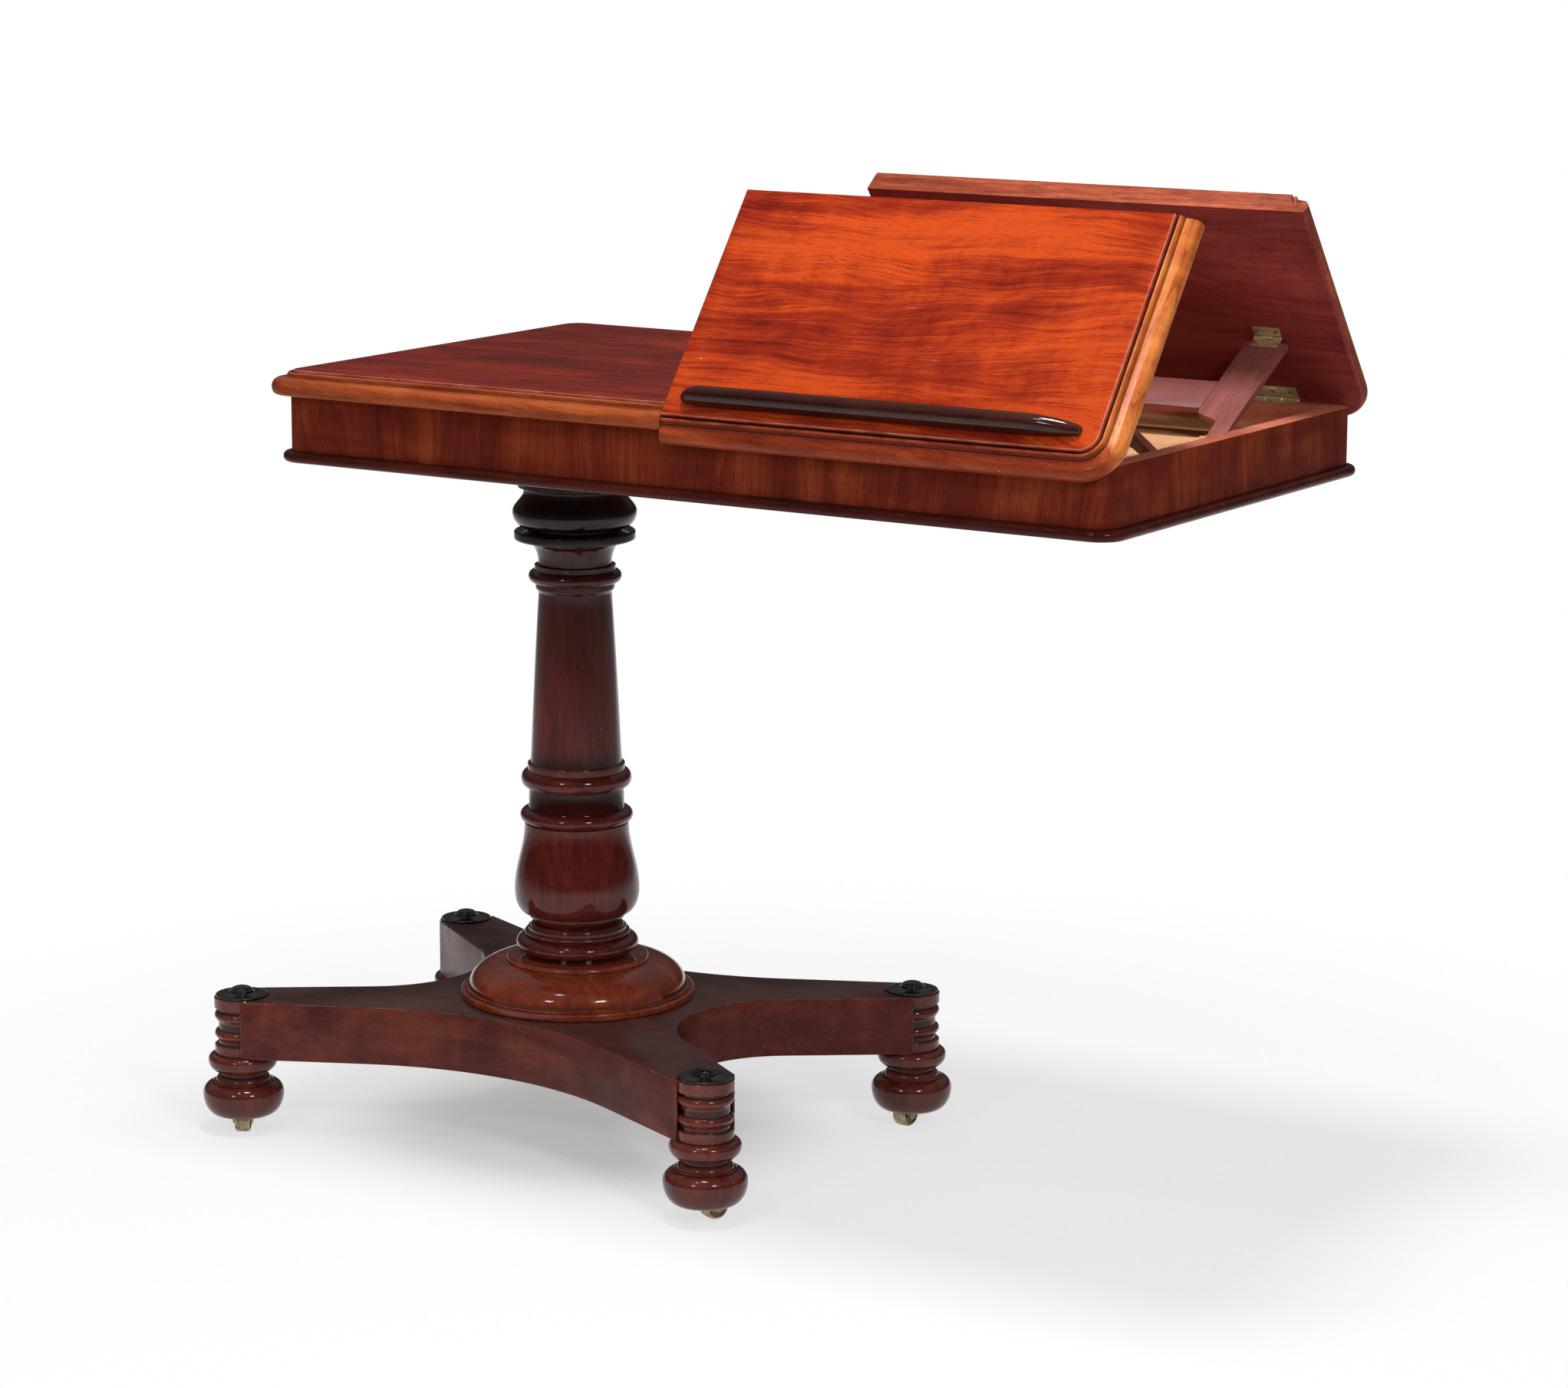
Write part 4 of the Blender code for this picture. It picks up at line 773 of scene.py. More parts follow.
# How far the painted shade goes towards its dark colour at its full reach
PAINTED_SHADE_SHARE = 0.8
RUBBED_SHARE = 0.6
PORE_ROUGHNESS = 0.12
FIGURE_RELIEF = 0.25
RUBBED_BRASS = (0.75, 0.58, 0.30)
BRASS_DIRT = (0.035, 0.025, 0.015)

FIGURE = figure_group()
WEAR = wear_group()
BANDS = bands_group()


def new_material(name):
    material = bpy.data.materials.new(name)
    material.use_nodes = True
    hand = Tree(material.node_tree)
    return material, hand, material.node_tree.nodes["Principled BSDF"]


def attribute(hand, name, output):
    settings = {"attribute_name": name, "attribute_type": "GEOMETRY"}
    return hand.add("ShaderNodeAttribute", settings).outputs[output]


def placed(hand, group, **inputs):
    """A node group placed in a material with its own values."""
    return hand.add("ShaderNodeGroup", {"node_tree": group}, **inputs)


def solid(colour):
    return (*colour, 1.0)


def figured(hand, grain, colours, figure):
    """A placed timber figure with its three colours, dark to light, and its own measures."""
    node = placed(hand, FIGURE, Grain=grain)
    for key, colour in zip(FIGURE_COLOURS, colours):
        node.inputs[key].default_value = solid(colour)
    for key, number in figure.items():
        node.inputs[key].default_value = number
    return node


def flame_lift(hand, grain, flames):
    """Lighter or darker flames in a board: soft ovals with frayed ends.

    Each has its centre, its reach each way, its turn in degrees and its lift.
    """
    fray = hand.noise(hand.stretched(grain, (7.0, 22.0, 22.0)), 4.0, 0.6, output="Color")
    shaken = hand.vectors("SUBTRACT", fray, (0.5, 0.5, 0.5))
    warped = hand.vectors("ADD", grain, hand.vectors("MULTIPLY", shaken, (0.16, 0.05, 0.0)))
    total = 0.0
    for centre, reach, turn, lift in flames:
        middle = hand.vectors("MULTIPLY", hand.vectors("SUBTRACT", warped, (*centre, 0.0)), (1.0, 1.0, 0.0))
        oval = hand.stretched(middle, (1, 1, 1), turn=(0, 0, -math.radians(turn)))
        oval = hand.vectors("MULTIPLY", oval, (1 / reach[0], 1 / reach[1], 0.0))
        glow = hand.spread(hand.vectors("LENGTH", oval, (0, 0, 0)), 0.25, 1.0, lift, 0.0, "SMOOTHSTEP")
        total = hand.plus(glow, total)
    return total


def banded(hand, grain, colour, bands):
    """The strips of the top's moulded edge and their quirk, painted near black as dark wax and painted
    shade, laid over the colour of the board.
    """
    shift, end, side = bands
    place = hand.vectors("SUBTRACT", grain, shift)
    inset = attribute(hand, "inset", "Fac")
    masks = placed(hand, BANDS, Place=place, Inset=inset, Left=TOP_LEFT, Right=TOP_RIGHT)
    quirk = (BEAD_START + QUIRK_SHARE * BEAD_WIDTH, BEAD_START + BEAD_WIDTH + QUIRK_WIDTH)
    for key, number in zip(("Half Depth", "Quirk Start", "Quirk End"), (TOP_HALF_DEPTH, *quirk)):
        masks.inputs[key].default_value = number
    across = hand.stretched(grain, (1, 1, 1), turn=(0, 0, math.pi / 2))
    for name, strip_grain, (strip_colours, strip_figure) in (("End", across, end), ("Side", grain, side)):
        strip = figured(hand, strip_grain, strip_colours, strip_figure)
        colour = hand.mixed(masks.outputs[name], colour, strip.outputs["Colour"])
    # Dark wax and painted shade in the quirk
    colour = hand.mixed(hand.times(masks.outputs["Quirk"], QUIRK_COVER), colour, solid(QUIRK_WAX_AND_PAINTED_SHADE))
    # A broken pale line on the field's edge: rubbed polish and a painted highlight
    broken = hand.noise(hand.stretched(grain, (45.0, 45.0, 45.0)), 3.0, 0.6)
    worn_highlight = hand.times(masks.outputs["Worn Highlight"], hand.spread(broken, 0.40, 0.60, 0.25, 0.75))
    return hand.mixed(worn_highlight, colour, solid(RUBBED_EDGE_AND_PAINTED_HIGHLIGHT))


def timber(
    name,
    colours,
    figure,
    gloss,
    specular=0.12,
    rub=0.5,
    wax=0.8,
    specks=0.3,
    bands=None,
    flames=(),
    depth=0.00012,
    painted_shade=None,
    turn=0.0,
):
    """A polished or raw timber finish.

    Gloss is the roughness where the polish is best and where it is dull. Shade is a painted shade: where
    along the grain a darkening that stands in for a shadow begins and ends, and the dark colour that it
    reaches.
    """
    material, hand, shader = new_material(name)
    grain = attribute(hand, "grain", "Vector")
    if turn:
        grain = hand.stretched(grain, (1, 1, 1), turn=(0, 0, turn))
    wood = figured(hand, grain, colours, figure)
    if flames:
        hand.feed(wood.inputs["Lift"], flame_lift(hand, grain, flames))
    colour = wood.outputs["Colour"]
    if bands:
        colour = banded(hand, grain, colour, bands)
    # Painted shade: the colour darkens along the grain, standing in for a shadow
    if painted_shade:
        start, end, painted_shade_colour = painted_shade
        along = hand.parts(grain)["X"]
        colour = hand.mixed(hand.spread(along, start, end, 0.0, PAINTED_SHADE_SHARE), colour, solid(painted_shade_colour))
    crest = attribute(hand, "crest", "Fac")
    wear = placed(hand, WEAR, Grain=grain, Crest=crest, Rub=rub, Wax=wax, Specks=specks)
    pale = tuple(min(1.0, 0.10 + 1.6 * part) for part in colours[2])
    colour = hand.mixed(hand.times(wear.outputs["Rubbed"], RUBBED_SHARE), colour, solid(pale))
    deep = tuple(0.22 * part for part in colours[0])
    colour = hand.mixed(wear.outputs["Waxed"], colour, solid(deep))
    colour = hand.mixed(wear.outputs["Flecks"], colour, solid(FLECK_COLOUR))
    hand.feed(shader.inputs["Base Color"], colour)
    roughness = hand.spread(wear.outputs["Dull"], 0.0, 1.0, *gloss)
    roughness = hand.plus(roughness, hand.times(wood.outputs["Pores"], PORE_ROUGHNESS))
    hand.feed(shader.inputs["Roughness"], roughness)
    shader.inputs["Specular IOR Level"].default_value = specular
    height = hand.minus(hand.times(wood.outputs["Figure"], FIGURE_RELIEF), wood.outputs["Pores"])
    bump = hand.add("ShaderNodeBump", None, Height=height, Distance=depth, Strength=0.35)
    hand.feed(shader.inputs["Normal"], bump.outputs["Normal"])
    return material


def figure(*numbers):
    """The measures of a figure in the order of its defaults, which stand for those left out."""
    return dict(zip(FIGURE_DEFAULTS, numbers))


AMBER = ((0.26, 0.046, 0.010), (0.58, 0.150, 0.032), (0.80, 0.270, 0.065))
AMBER_FIGURE = figure(0.30, 160.0, 0.8, 0.55, 0.50, 0.03, 0.2)
DARK_STRIP = ((0.11, 0.014, 0.006), (0.24, 0.033, 0.010), (0.38, 0.068, 0.019))
BROWN_STRIP = ((0.11, 0.015, 0.006), (0.23, 0.038, 0.012), (0.38, 0.082, 0.024))
LEAF_STRIP = ((0.11, 0.016, 0.0065), (0.25, 0.043, 0.013), (0.42, 0.098, 0.026))
STRIP_FIGURE = figure(0.2, 110.0, 0.5, 0.45, 0.1, 0.05, 0.02)

MOULDING_FIGURE = figure(0.15, 90.0, 0.6, 0.4, 0.1, 0.05, 0.0)
COLUMN_FIGURE = figure(0.14, 75.0, 0.40, 0.55, 0.05, 0.02, 0.03)
TURNED_POLISH = {"gloss": (0.06, 0.11), "depth": 0.00002}

# Where each board of the top lies in the timber that it was cut from
FRONT_SHIFT = (0.35, -0.15, 0.08)
REAR_SHIFT = (0.35, 0.15, 0.08)
LEAF_SHIFT = (0.0, 0.0, 0.0)

front_slope_polish = timber(
    "front_slope_polish",
    ((0.135, 0.0072, 0.0034), (0.30, 0.024, 0.0065), (0.56, 0.066, 0.009)),
    figure(0.10, 220.0, 0.58, 0.80, 0.18, 0.30, -0.46, -0.12),
    (0.10, 0.22),
    specular=0.14,
    depth=0.00006,
    specks=0.9,
    bands=(FRONT_SHIFT, (AMBER, AMBER_FIGURE), (DARK_STRIP, STRIP_FIGURE)),
    flames=(
        ((0.64, -0.19), (0.24, 0.050), 6.0, 0.50),
        ((0.83, -0.30), (0.12, 0.110), 30.0, 0.40),
        ((0.50, -0.35), (0.18, 0.040), 4.0, 0.28),
        ((0.60, -0.26), (0.18, 0.040), 8.0, -0.12),
    ),
)
rear_slope_polish = timber(
    "rear_slope_polish",
    ((0.10, 0.008, 0.004), (0.25, 0.026, 0.009), (0.48, 0.068, 0.016)),
    figure(0.16, 130.0, 0.60, 0.55, 0.16, 0.10, 0.34, 0.18),
    (0.16, 0.30),
    specks=0.7,
    bands=(REAR_SHIFT, (BROWN_STRIP, AMBER_FIGURE), (DARK_STRIP, STRIP_FIGURE)),
    flames=(((0.62, 0.24), (0.24, 0.060), -8.0, 0.45), ((0.55, 0.36), (0.15, 0.045), -5.0, -0.25)),
)
slope_back = timber(
    "slope_back",
    ((0.105, 0.015, 0.014), (0.225, 0.033, 0.031), (0.34, 0.060, 0.047)),
    figure(0.12, 130.0, 0.5, 0.50, 0.08, 0.06, 0.05),
    (0.34, 0.50),
    specks=0.4,
)
slope_edge = timber(
    "slope_edge",
    ((0.11, 0.018, 0.009), (0.30, 0.055, 0.022), (0.52, 0.130, 0.060)),
    figure(0.2, 110.0, 0.7, 0.65, 0.1, 0.05, 0.0),
    (0.34, 0.50),
)
leaf_polish = timber(
    "leaf_polish",
    ((0.066, 0.0040, 0.0024), (0.156, 0.0100, 0.0045), (0.31, 0.026, 0.008)),
    figure(0.16, 200.0, 0.6, 0.50, 0.10, 0.30, 0.40, 0.12),
    (0.12, 0.24),
    specular=0.09,
    depth=0.00006,
    specks=0.5,
    bands=(LEAF_SHIFT, (BROWN_STRIP, AMBER_FIGURE), (LEAF_STRIP, STRIP_FIGURE)),
    flames=(((-0.10, 0.14), (0.20, 0.060), 5.0, 0.35), ((-0.20, -0.05), (0.16, 0.050), -6.0, -0.20)),
)
ledge_polish = timber(
    "ledge_polish",
    ((0.015, 0.0029, 0.0022), (0.033, 0.0058, 0.0040), (0.070, 0.013, 0.0080)),
    figure(0.2, 120.0, 0.6, 0.35, 0.05, 0.02, 0.0),
    (0.07, 0.14),
    specular=0.35,
    depth=0.00003,
)
frieze_veneer = timber(
    "frieze_veneer",
    ((0.060, 0.0083, 0.0056), (0.158, 0.0225, 0.0118), (0.33, 0.060, 0.0215)),
    figure(0.10, 110.0, 0.50, 0.24, 0.25, 0.05, 0.03),
    (0.18, 0.32),
    specular=0.02,
    specks=0.3,
)
# The bottom board's own timber, painted much darker than the frieze: painted shade under the box
moulding_wood_painted_shade = timber(
    "moulding_wood_painted_shade",
    ((0.026, 0.0042, 0.0030), (0.056, 0.0088, 0.0056), (0.110, 0.020, 0.0095)),
    MOULDING_FIGURE,
    (0.14, 0.26),
    depth=0.00004,
)
rail_wood = timber(
    "rail_wood",
    ((0.30, 0.080, 0.045), (0.52, 0.150, 0.086), (0.68, 0.240, 0.140)),
    MOULDING_FIGURE,
    (0.42, 0.58),
    turn=math.pi / 2,
)
column_polish = timber(
    "column_polish",
    ((0.040, 0.0055, 0.0048), (0.088, 0.0120, 0.0096), (0.165, 0.026, 0.0140)),
    COLUMN_FIGURE,
    specular=0.32,
    rub=0.35,
    **TURNED_POLISH,
    # Painted shade: darker towards the head, standing in for the shadow of the table top
    painted_shade=(0.42, 0.60, (0.016, 0.0040, 0.0042)),
)
# A much darker copy of the column's polish: painted shade, standing in for the shadow under the table top
capital_painted_shade_polish = timber(
    "capital_painted_shade_polish",
    ((0.0075, 0.0026, 0.0030), (0.0150, 0.0046, 0.0052), (0.032, 0.0085, 0.0080)),
    COLUMN_FIGURE,
    specular=0.34,
    rub=0.35,
    **TURNED_POLISH,
)
dome_polish = timber(
    "dome_polish",
    ((0.125, 0.019, 0.010), (0.24, 0.038, 0.017), (0.38, 0.077, 0.026)),
    figure(0.22, 75.0, 0.7, 0.40, 0.05, 0.02, 0.03),
    specular=0.36,
    rub=0.35,
    **TURNED_POLISH,
)
foot_polish = timber(
    "foot_polish",
    ((0.050, 0.0085, 0.0068), (0.105, 0.0185, 0.0130), (0.19, 0.038, 0.020)),
    figure(0.20, 75.0, 0.5, 0.50, 0.05, 0.02, 0.03),
    specular=0.36,
    rub=0.4,
    specks=0.5,
    **TURNED_POLISH,
)
platform_side_veneer = timber(
    "platform_side_veneer",
    ((0.058, 0.0125, 0.010), (0.115, 0.026, 0.020), (0.19, 0.044, 0.028)),
    figure(0.12, 60.0, 0.8, 0.35, 0.25, 0.05, 0.0),
    (0.24, 0.38),
    specks=0.4,
    rub=0.9,
)
platform_top_veneer = timber(
    "platform_top_veneer",
    ((0.062, 0.021, 0.017), (0.108, 0.038, 0.031), (0.17, 0.064, 0.047)),
    figure(0.12, 60.0, 0.6, 0.35, 0.15, 0.05, 0.0),
    (0.26, 0.40),
    specular=0.22,
    specks=0.4,
    rub=0.9,
)
prop_wood = timber(
    "prop_wood",
    ((0.145, 0.041, 0.037), (0.250, 0.076, 0.065), (0.37, 0.128, 0.104)),
    figure(0.12, 110.0, 0.5, 0.45, 0.1, 0.04, 0.0),
    (0.34, 0.46),
    specular=0.16,
)
carcase_wood = timber(
    "carcase_wood",
    ((0.07, 0.020, 0.010), (0.13, 0.038, 0.018), (0.20, 0.065, 0.030)),
    figure(0.25, 100.0, 0.6, 0.4, 0.1, 0.06, 0.0),
    (0.50, 0.65),
)
pale_board = timber(
    "pale_board",
    ((0.50, 0.24, 0.11), (0.70, 0.36, 0.17), (0.80, 0.46, 0.24)),
    figure(0.25, 110.0, 0.5, 0.4, 0.1, 0.05, 0.0),
    (0.50, 0.64),
    specks=0.1,
)
pale_strip = timber(
    "pale_strip",
    ((0.48, 0.24, 0.11), (0.66, 0.36, 0.18), (0.76, 0.46, 0.25)),
    figure(0.2, 140.0, 0.4, 0.4, 0.1, 0.05, 0.0),
    (0.50, 0.64),
    specks=0.1,
)
ebony_gloss = timber(
    "ebony_gloss",
    ((0.0030, 0.0026, 0.0026), (0.0065, 0.0055, 0.0055), (0.016, 0.011, 0.010)),
    figure(0.1, 120.0, 0.5, 0.5, 0.0, 0.02, 0.0),
    specular=0.50,
    rub=0.15,
    specks=0.2,
    **TURNED_POLISH,
)


def brass(name, bright, dull, gloss):
    """Old brass: warm metal that has dulled in patches, with dirt in its hollows and rubbed edges."""
    material, hand, shader = new_material(name)
    place = hand.add("ShaderNodeTexCoord").outputs["Object"]
    grain = hand.stretched(place, (6, 6, 6))
    crest = attribute(hand, "crest", "Fac")
    wear = placed(hand, WEAR, Grain=grain, Crest=crest, Rub=0.9, Wax=0.9, Specks=0.0)
    stain = hand.noise(hand.stretched(place, (210.0, 210.0, 210.0)), 4.0, 0.6)
    stained = hand.spread(stain, 0.36, 0.64)
    colour = hand.mixed(stained, solid(bright), solid(dull))
    colour = hand.mixed(hand.times(wear.outputs["Rubbed"], RUBBED_SHARE), colour, solid(RUBBED_BRASS))
    colour = hand.mixed(wear.outputs["Waxed"], colour, solid(BRASS_DIRT))
    hand.feed(shader.inputs["Base Color"], colour)
    shader.inputs["Metallic"].default_value = 0.85
    hand.feed(shader.inputs["Roughness"], hand.spread(stained, 0.0, 1.0, *gloss))
    bump = hand.add("ShaderNodeBump", None, Height=stain, Distance=0.00006, Strength=0.3)
    hand.feed(shader.inputs["Normal"], bump.outputs["Normal"])
    return material


aged_brass = brass("aged_brass", (0.84, 0.70, 0.48), (0.62, 0.50, 0.33), (0.26, 0.44))
castor_brass = brass("castor_brass", (0.46, 0.35, 0.20), (0.20, 0.15, 0.09), (0.28, 0.46))
screw_brass = brass("screw_brass", (0.52, 0.41, 0.26), (0.26, 0.20, 0.13), (0.24, 0.40))


# Turned pieces: each member is a kind, the radius at its foot, the radius it reaches, and a height


def bead(start, peak, height, count=CURVE_POINTS):
    """A half-round ring that stands out from its core."""
    core, foot = start
    angles = [math.pi * i / count for i in range(count + 1)]
    return [(core + (peak - core) * math.sin(a), foot + height * (1 - math.cos(a)) / 2) for a in angles]


MEMBERS = {
    "straight": lambda start, reach, height: [start, (reach, start[1] + height)],
    "bead": bead,
    "swell": lambda start, reach, height: round_out(start, (reach, start[1] + height)),
    "shoulder": lambda start, reach, height: round_in(start, (reach, start[1] + height)),
    "ogee": lambda start, reach, height: ease(start, (reach, start[1] + height)),
}


def stacked(bottom, members):
    """The profile of turned members that stand on one another."""
    profile, height = [], bottom
    for kind, radius, reach, rise in members:
        profile += MEMBERS[kind]((radius, height), reach, rise)
        height += rise
    return profile


BASE_RING_MEMBERS = (
    ("straight", 0.1105, 0.1119, 0.0012),
    ("straight", 0.1119, 0.1119, 0.0046),
    ("shoulder", 0.1119, 0.1092, 0.0016),
    ("straight", 0.1078, 0.1078, 0.0018),
    ("straight", 0.1074, 0.1050, 0.0008),
    ("shoulder", 0.1043, 0.0690, 0.0253),
    ("straight", 0.0660, 0.0672, 0.0006),
    ("shoulder", 0.0684, 0.0668, 0.0034),
    ("straight", 0.0660, 0.0660, 0.0005),
)
SHAFT_LOWER_MEMBERS = (
    ("straight", 0.0500, 0.0506, 0.0040),
    ("bead", 0.0508, 0.0587, 0.0152),
    ("straight", 0.0494, 0.0494, 0.0008),
    ("bead", 0.0478, 0.0506, 0.0045),
    ("straight", 0.0472, 0.0470, 0.0030),
    ("shoulder", 0.0452, 0.0408, 0.0040),
    ("ogee", 0.0405, 0.0462, 0.0076),
    ("straight", 0.0468, 0.0468, 0.0022),
    ("swell", 0.0475, 0.0598, 0.0228),
    ("ogee", 0.0598, 0.0497, 0.0650),
    ("straight", 0.0487, 0.0480, 0.0010),
    ("bead", 0.0470, 0.0539, 0.0130),
    ("straight", 0.0458, 0.0455, 0.0006),
    ("straight", 0.0455, 0.0452, 0.0198),
    ("straight", 0.0458, 0.0462, 0.0006),
    ("bead", 0.0462, 0.0527, 0.0165),
    ("straight", 0.0464, 0.0464, 0.0056),
    ("shoulder", 0.0464, 0.0436, 0.0020),
)
NECK_MEMBERS = (
    ("ogee", 0.0348, 0.0372, 0.0050),
    ("straight", 0.0376, 0.0376, 0.0046),
    ("bead", 0.0378, 0.0442, 0.0125),
    ("straight", 0.0384, 0.0384, 0.0046),
    ("straight", 0.0376, 0.0352, 0.0004),
    ("shoulder", 0.0346, 0.0456, 0.0214),
    ("straight", 0.0468, 0.0480, 0.0020),
)
CAPITAL_MEMBERS = (
    ("swell", 0.0550, 0.0575, 0.0022),
    ("straight", 0.0575, 0.0575, 0.0046),
    ("shoulder", 0.0575, 0.0550, 0.0022),
    ("straight", 0.0446, 0.0446, 0.0030),
    ("swell", 0.0462, 0.0589, 0.0145),
    ("ogee", 0.0589, 0.0482, 0.0200),
    ("straight", 0.0482, 0.0482, 0.0014),
    ("shoulder", 0.0482, 0.0530, 0.0026),
    ("straight", 0.0537, 0.0537, 0.0057),
)
BUN_MEMBERS = (
    ("swell", 0.0245, 0.0388, 0.0216),
    ("shoulder", 0.0388, 0.0296, 0.0104),
    ("straight", 0.0286, 0.0290, 0.0010),
    ("straight", 0.0290, 0.0278, 0.0010),
    ("shoulder", 0.0262, 0.0214, 0.0052),
    ("straight", 0.0213, 0.0215, 0.0036),
    ("swell", 0.0222, 0.0332, 0.0118),
    ("shoulder", 0.0332, 0.0272, 0.0060),
)
REED_MEMBERS = (("ogee", 0.0228, 0.0260, 0.0068), ("shoulder", 0.0265, 0.0232, 0.0048))
POST_MEMBERS = (
    ("straight", 0.0262, 0.0265, 0.0010),
    ("straight", 0.0265, 0.0265, 0.0080),
    ("shoulder", 0.0262, 0.0240, 0.0012),
    ("straight", 0.0229, 0.0226, 0.0024),
    *REED_MEMBERS,
    ("straight", 0.0226, 0.0226, 0.0062),
    *REED_MEMBERS,
    ("straight", 0.0226, 0.0228, 0.0030),
    ("swell", 0.0240, 0.0265, 0.0012),
)
CAP_MEMBERS = (
    ("swell", 0.0240, 0.0250, 0.0006),
    ("straight", 0.0250, 0.0250, 0.0006),
    ("shoulder", 0.0250, 0.0224, 0.0010),
)

CAP_SWEEP_START = 0.0222
CAP_SWEEP_END = 0.0114
CAP_SWEEP_RISE = 0.0042
CAP_RING_CORE = 0.0104
CAP_RING_RADIUS = 0.0113
CAP_RING_HEIGHT = 0.0016
CAP_DOME_RADIUS = 0.0098
CAP_DOME_FOOT = 0.0019

PLATFORM_TOP = platform_high.z
PLATFORM_BOTTOM = platform_low.z


def base_ring_profile():
    bottom, top = (corner.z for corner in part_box("column_base_ring"))
    bore = LOWER_TENON_RADIUS + SEAT_GAP
    return [(bore, bottom)] + stacked(bottom, BASE_RING_MEMBERS) + [(0.0655, top), (bore, top)]


def shaft_profile():
    """The column in one piece, with its tenons, from its foot up."""
    bottom, top = (corner.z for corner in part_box("column_shaft"))
    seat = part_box("column_base_ring")[1].z + SEAT_GAP
    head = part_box("column_capital")[0].z - SEAT_GAP
    neck = head - sum(member[3] for member in NECK_MEMBERS)
    lower = stacked(seat, SHAFT_LOWER_MEMBERS)
    upper = stacked(neck, NECK_MEMBERS)
    foot_height, neck_height = lower[-1][1], upper[0][1]
    entasis = []
    for i in range(1, 12):
        share = i / 12
        radius = SHAFT_FOOT_RADIUS + (SHAFT_NECK_RADIUS - SHAFT_FOOT_RADIUS) * share
        radius += ENTASIS * math.sin(math.pi * share)
        entasis.append((radius, foot_height + (neck_height - foot_height) * share))
    tenon_top = [(SHAFT_HEAD_RADIUS, head), (UPPER_TENON_RADIUS, head), (UPPER_TENON_RADIUS, top), (0, top)]
    tenon_foot = [(0, bottom), (LOWER_TENON_RADIUS, bottom), (LOWER_TENON_RADIUS, seat)]
    return tenon_foot + lower + entasis + upper + tenon_top


def capital_profile():
    bottom, top = (corner.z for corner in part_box("column_capital"))
    bore = UPPER_TENON_RADIUS + SEAT_GAP
    return [(bore, bottom)] + stacked(bottom, CAPITAL_MEMBERS) + [(0.0537, top), (bore, top)]


def foot_profile(name):
    """Bun, neck, collar and post, hollowed underneath for the castor and bored for its stem."""
    bottom, top = (corner.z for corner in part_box(f"foot_{name}"))
    stem = STEM_RADIUS + SEAT_GAP
    stem_top = CASTOR_WELL_TOP + STEM_LENGTH + SEAT_GAP
    hollow = [(0, stem_top), (stem, stem_top), (stem, CASTOR_WELL_TOP)]
    hollow += [(CASTOR_WELL_RADIUS, CASTOR_WELL_TOP)]
    lower = stacked(bottom, BUN_MEMBERS)
    post = stacked(lower[-1][1], POST_MEMBERS)
    rim = [(POST_RADIUS, top - POST_EASE), (POST_RADIUS - POST_EASE, top), (0, top)]
    return hollow + [(CASTOR_WELL_RADIUS, bottom)] + lower + post + rim


def cap_profile(name):
    """A thin disc that sweeps up to a domed boss with a ring at its foot."""
    bottom, top = (corner.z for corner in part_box(f"foot_cap_{name}"))
    rim = stacked(bottom, CAP_MEMBERS)
    boss_foot = bottom + CAP_SWEEP_RISE
    sweep = round_out((CAP_SWEEP_START, rim[-1][1] - 0.0001), (CAP_SWEEP_END, boss_foot))
    ring = bead((CAP_RING_CORE, boss_foot), CAP_RING_RADIUS, CAP_RING_HEIGHT, 8)
    dome = round_in((CAP_DOME_RADIUS, boss_foot + CAP_DOME_FOOT), (0, top))
    return [(0, bottom)] + rim + sweep + ring + dome


def build_column():
    place = Matrix.Translation((COLUMN_X, 0, 0))
    turnings = {
        "column_base_ring": (base_ring_profile(), dome_polish, True, 0.30),
        "column_shaft": (shaft_profile(), column_polish, False, 0.0),
        "column_capital": (capital_profile(), capital_painted_shade_polish, True, 0.55),
    }
    for name, (profile, finish, ring, shift) in turnings.items():
        mesh = turned(name, profile, finish, COLUMN_STEPS, ring)
        piece(name, mesh, finish, "stand", "z", (shift, 0.02, shift), place)


# Platform and feet


def hollow_side(start, end, sagitta, radius):
    """The inner points of a hollow side that bows to the left of its travel: straight, a round, straight."""
    wide, tall = end[0] - start[0], end[1] - start[1]
    chord = math.hypot(wide, tall)
    away = math.hypot(chord / 2, radius - sagitta)
    half_angle = math.degrees(math.atan2(chord / 2, radius - sagitta) - math.acos(radius / away))
    left = (-tall / chord, wide / chord)
    middle = ((start[0] + end[0]) / 2, (start[1] + end[1]) / 2)
    centre = [m + n * (sagitta - radius) for m, n in zip(middle, left)]
    facing = math.degrees(math.atan2(left[1], left[0]))
    return arc(centre, radius, facing + half_angle, facing - half_angle, 5 * CURVE_POINTS)


def arm_end(sign_x, sign_y, half_x, half_y):
    """The end of an arm, cut off through its foot's axis, with a round seat for the post."""
    reach = math.hypot(half_x, half_y)
    along = (-sign_y * half_y / reach, sign_x * half_x / reach)
    axis = (sign_x * half_x, sign_y * half_y)
    seat = POST_RADIUS + SEAT_GAP
    facing = math.degrees(math.atan2(along[1], along[0]))
    hollow = arc(axis, seat, facing + 180, facing, 2 * CURVE_POINTS)
    first = (axis[0] - along[0] * ARM_HALF_WIDTH, axis[1] - along[1] * ARM_HALF_WIDTH)
    last = (axis[0] + along[0] * ARM_HALF_WIDTH, axis[1] + along[1] * ARM_HALF_WIDTH)
    return [first] + hollow + [last]


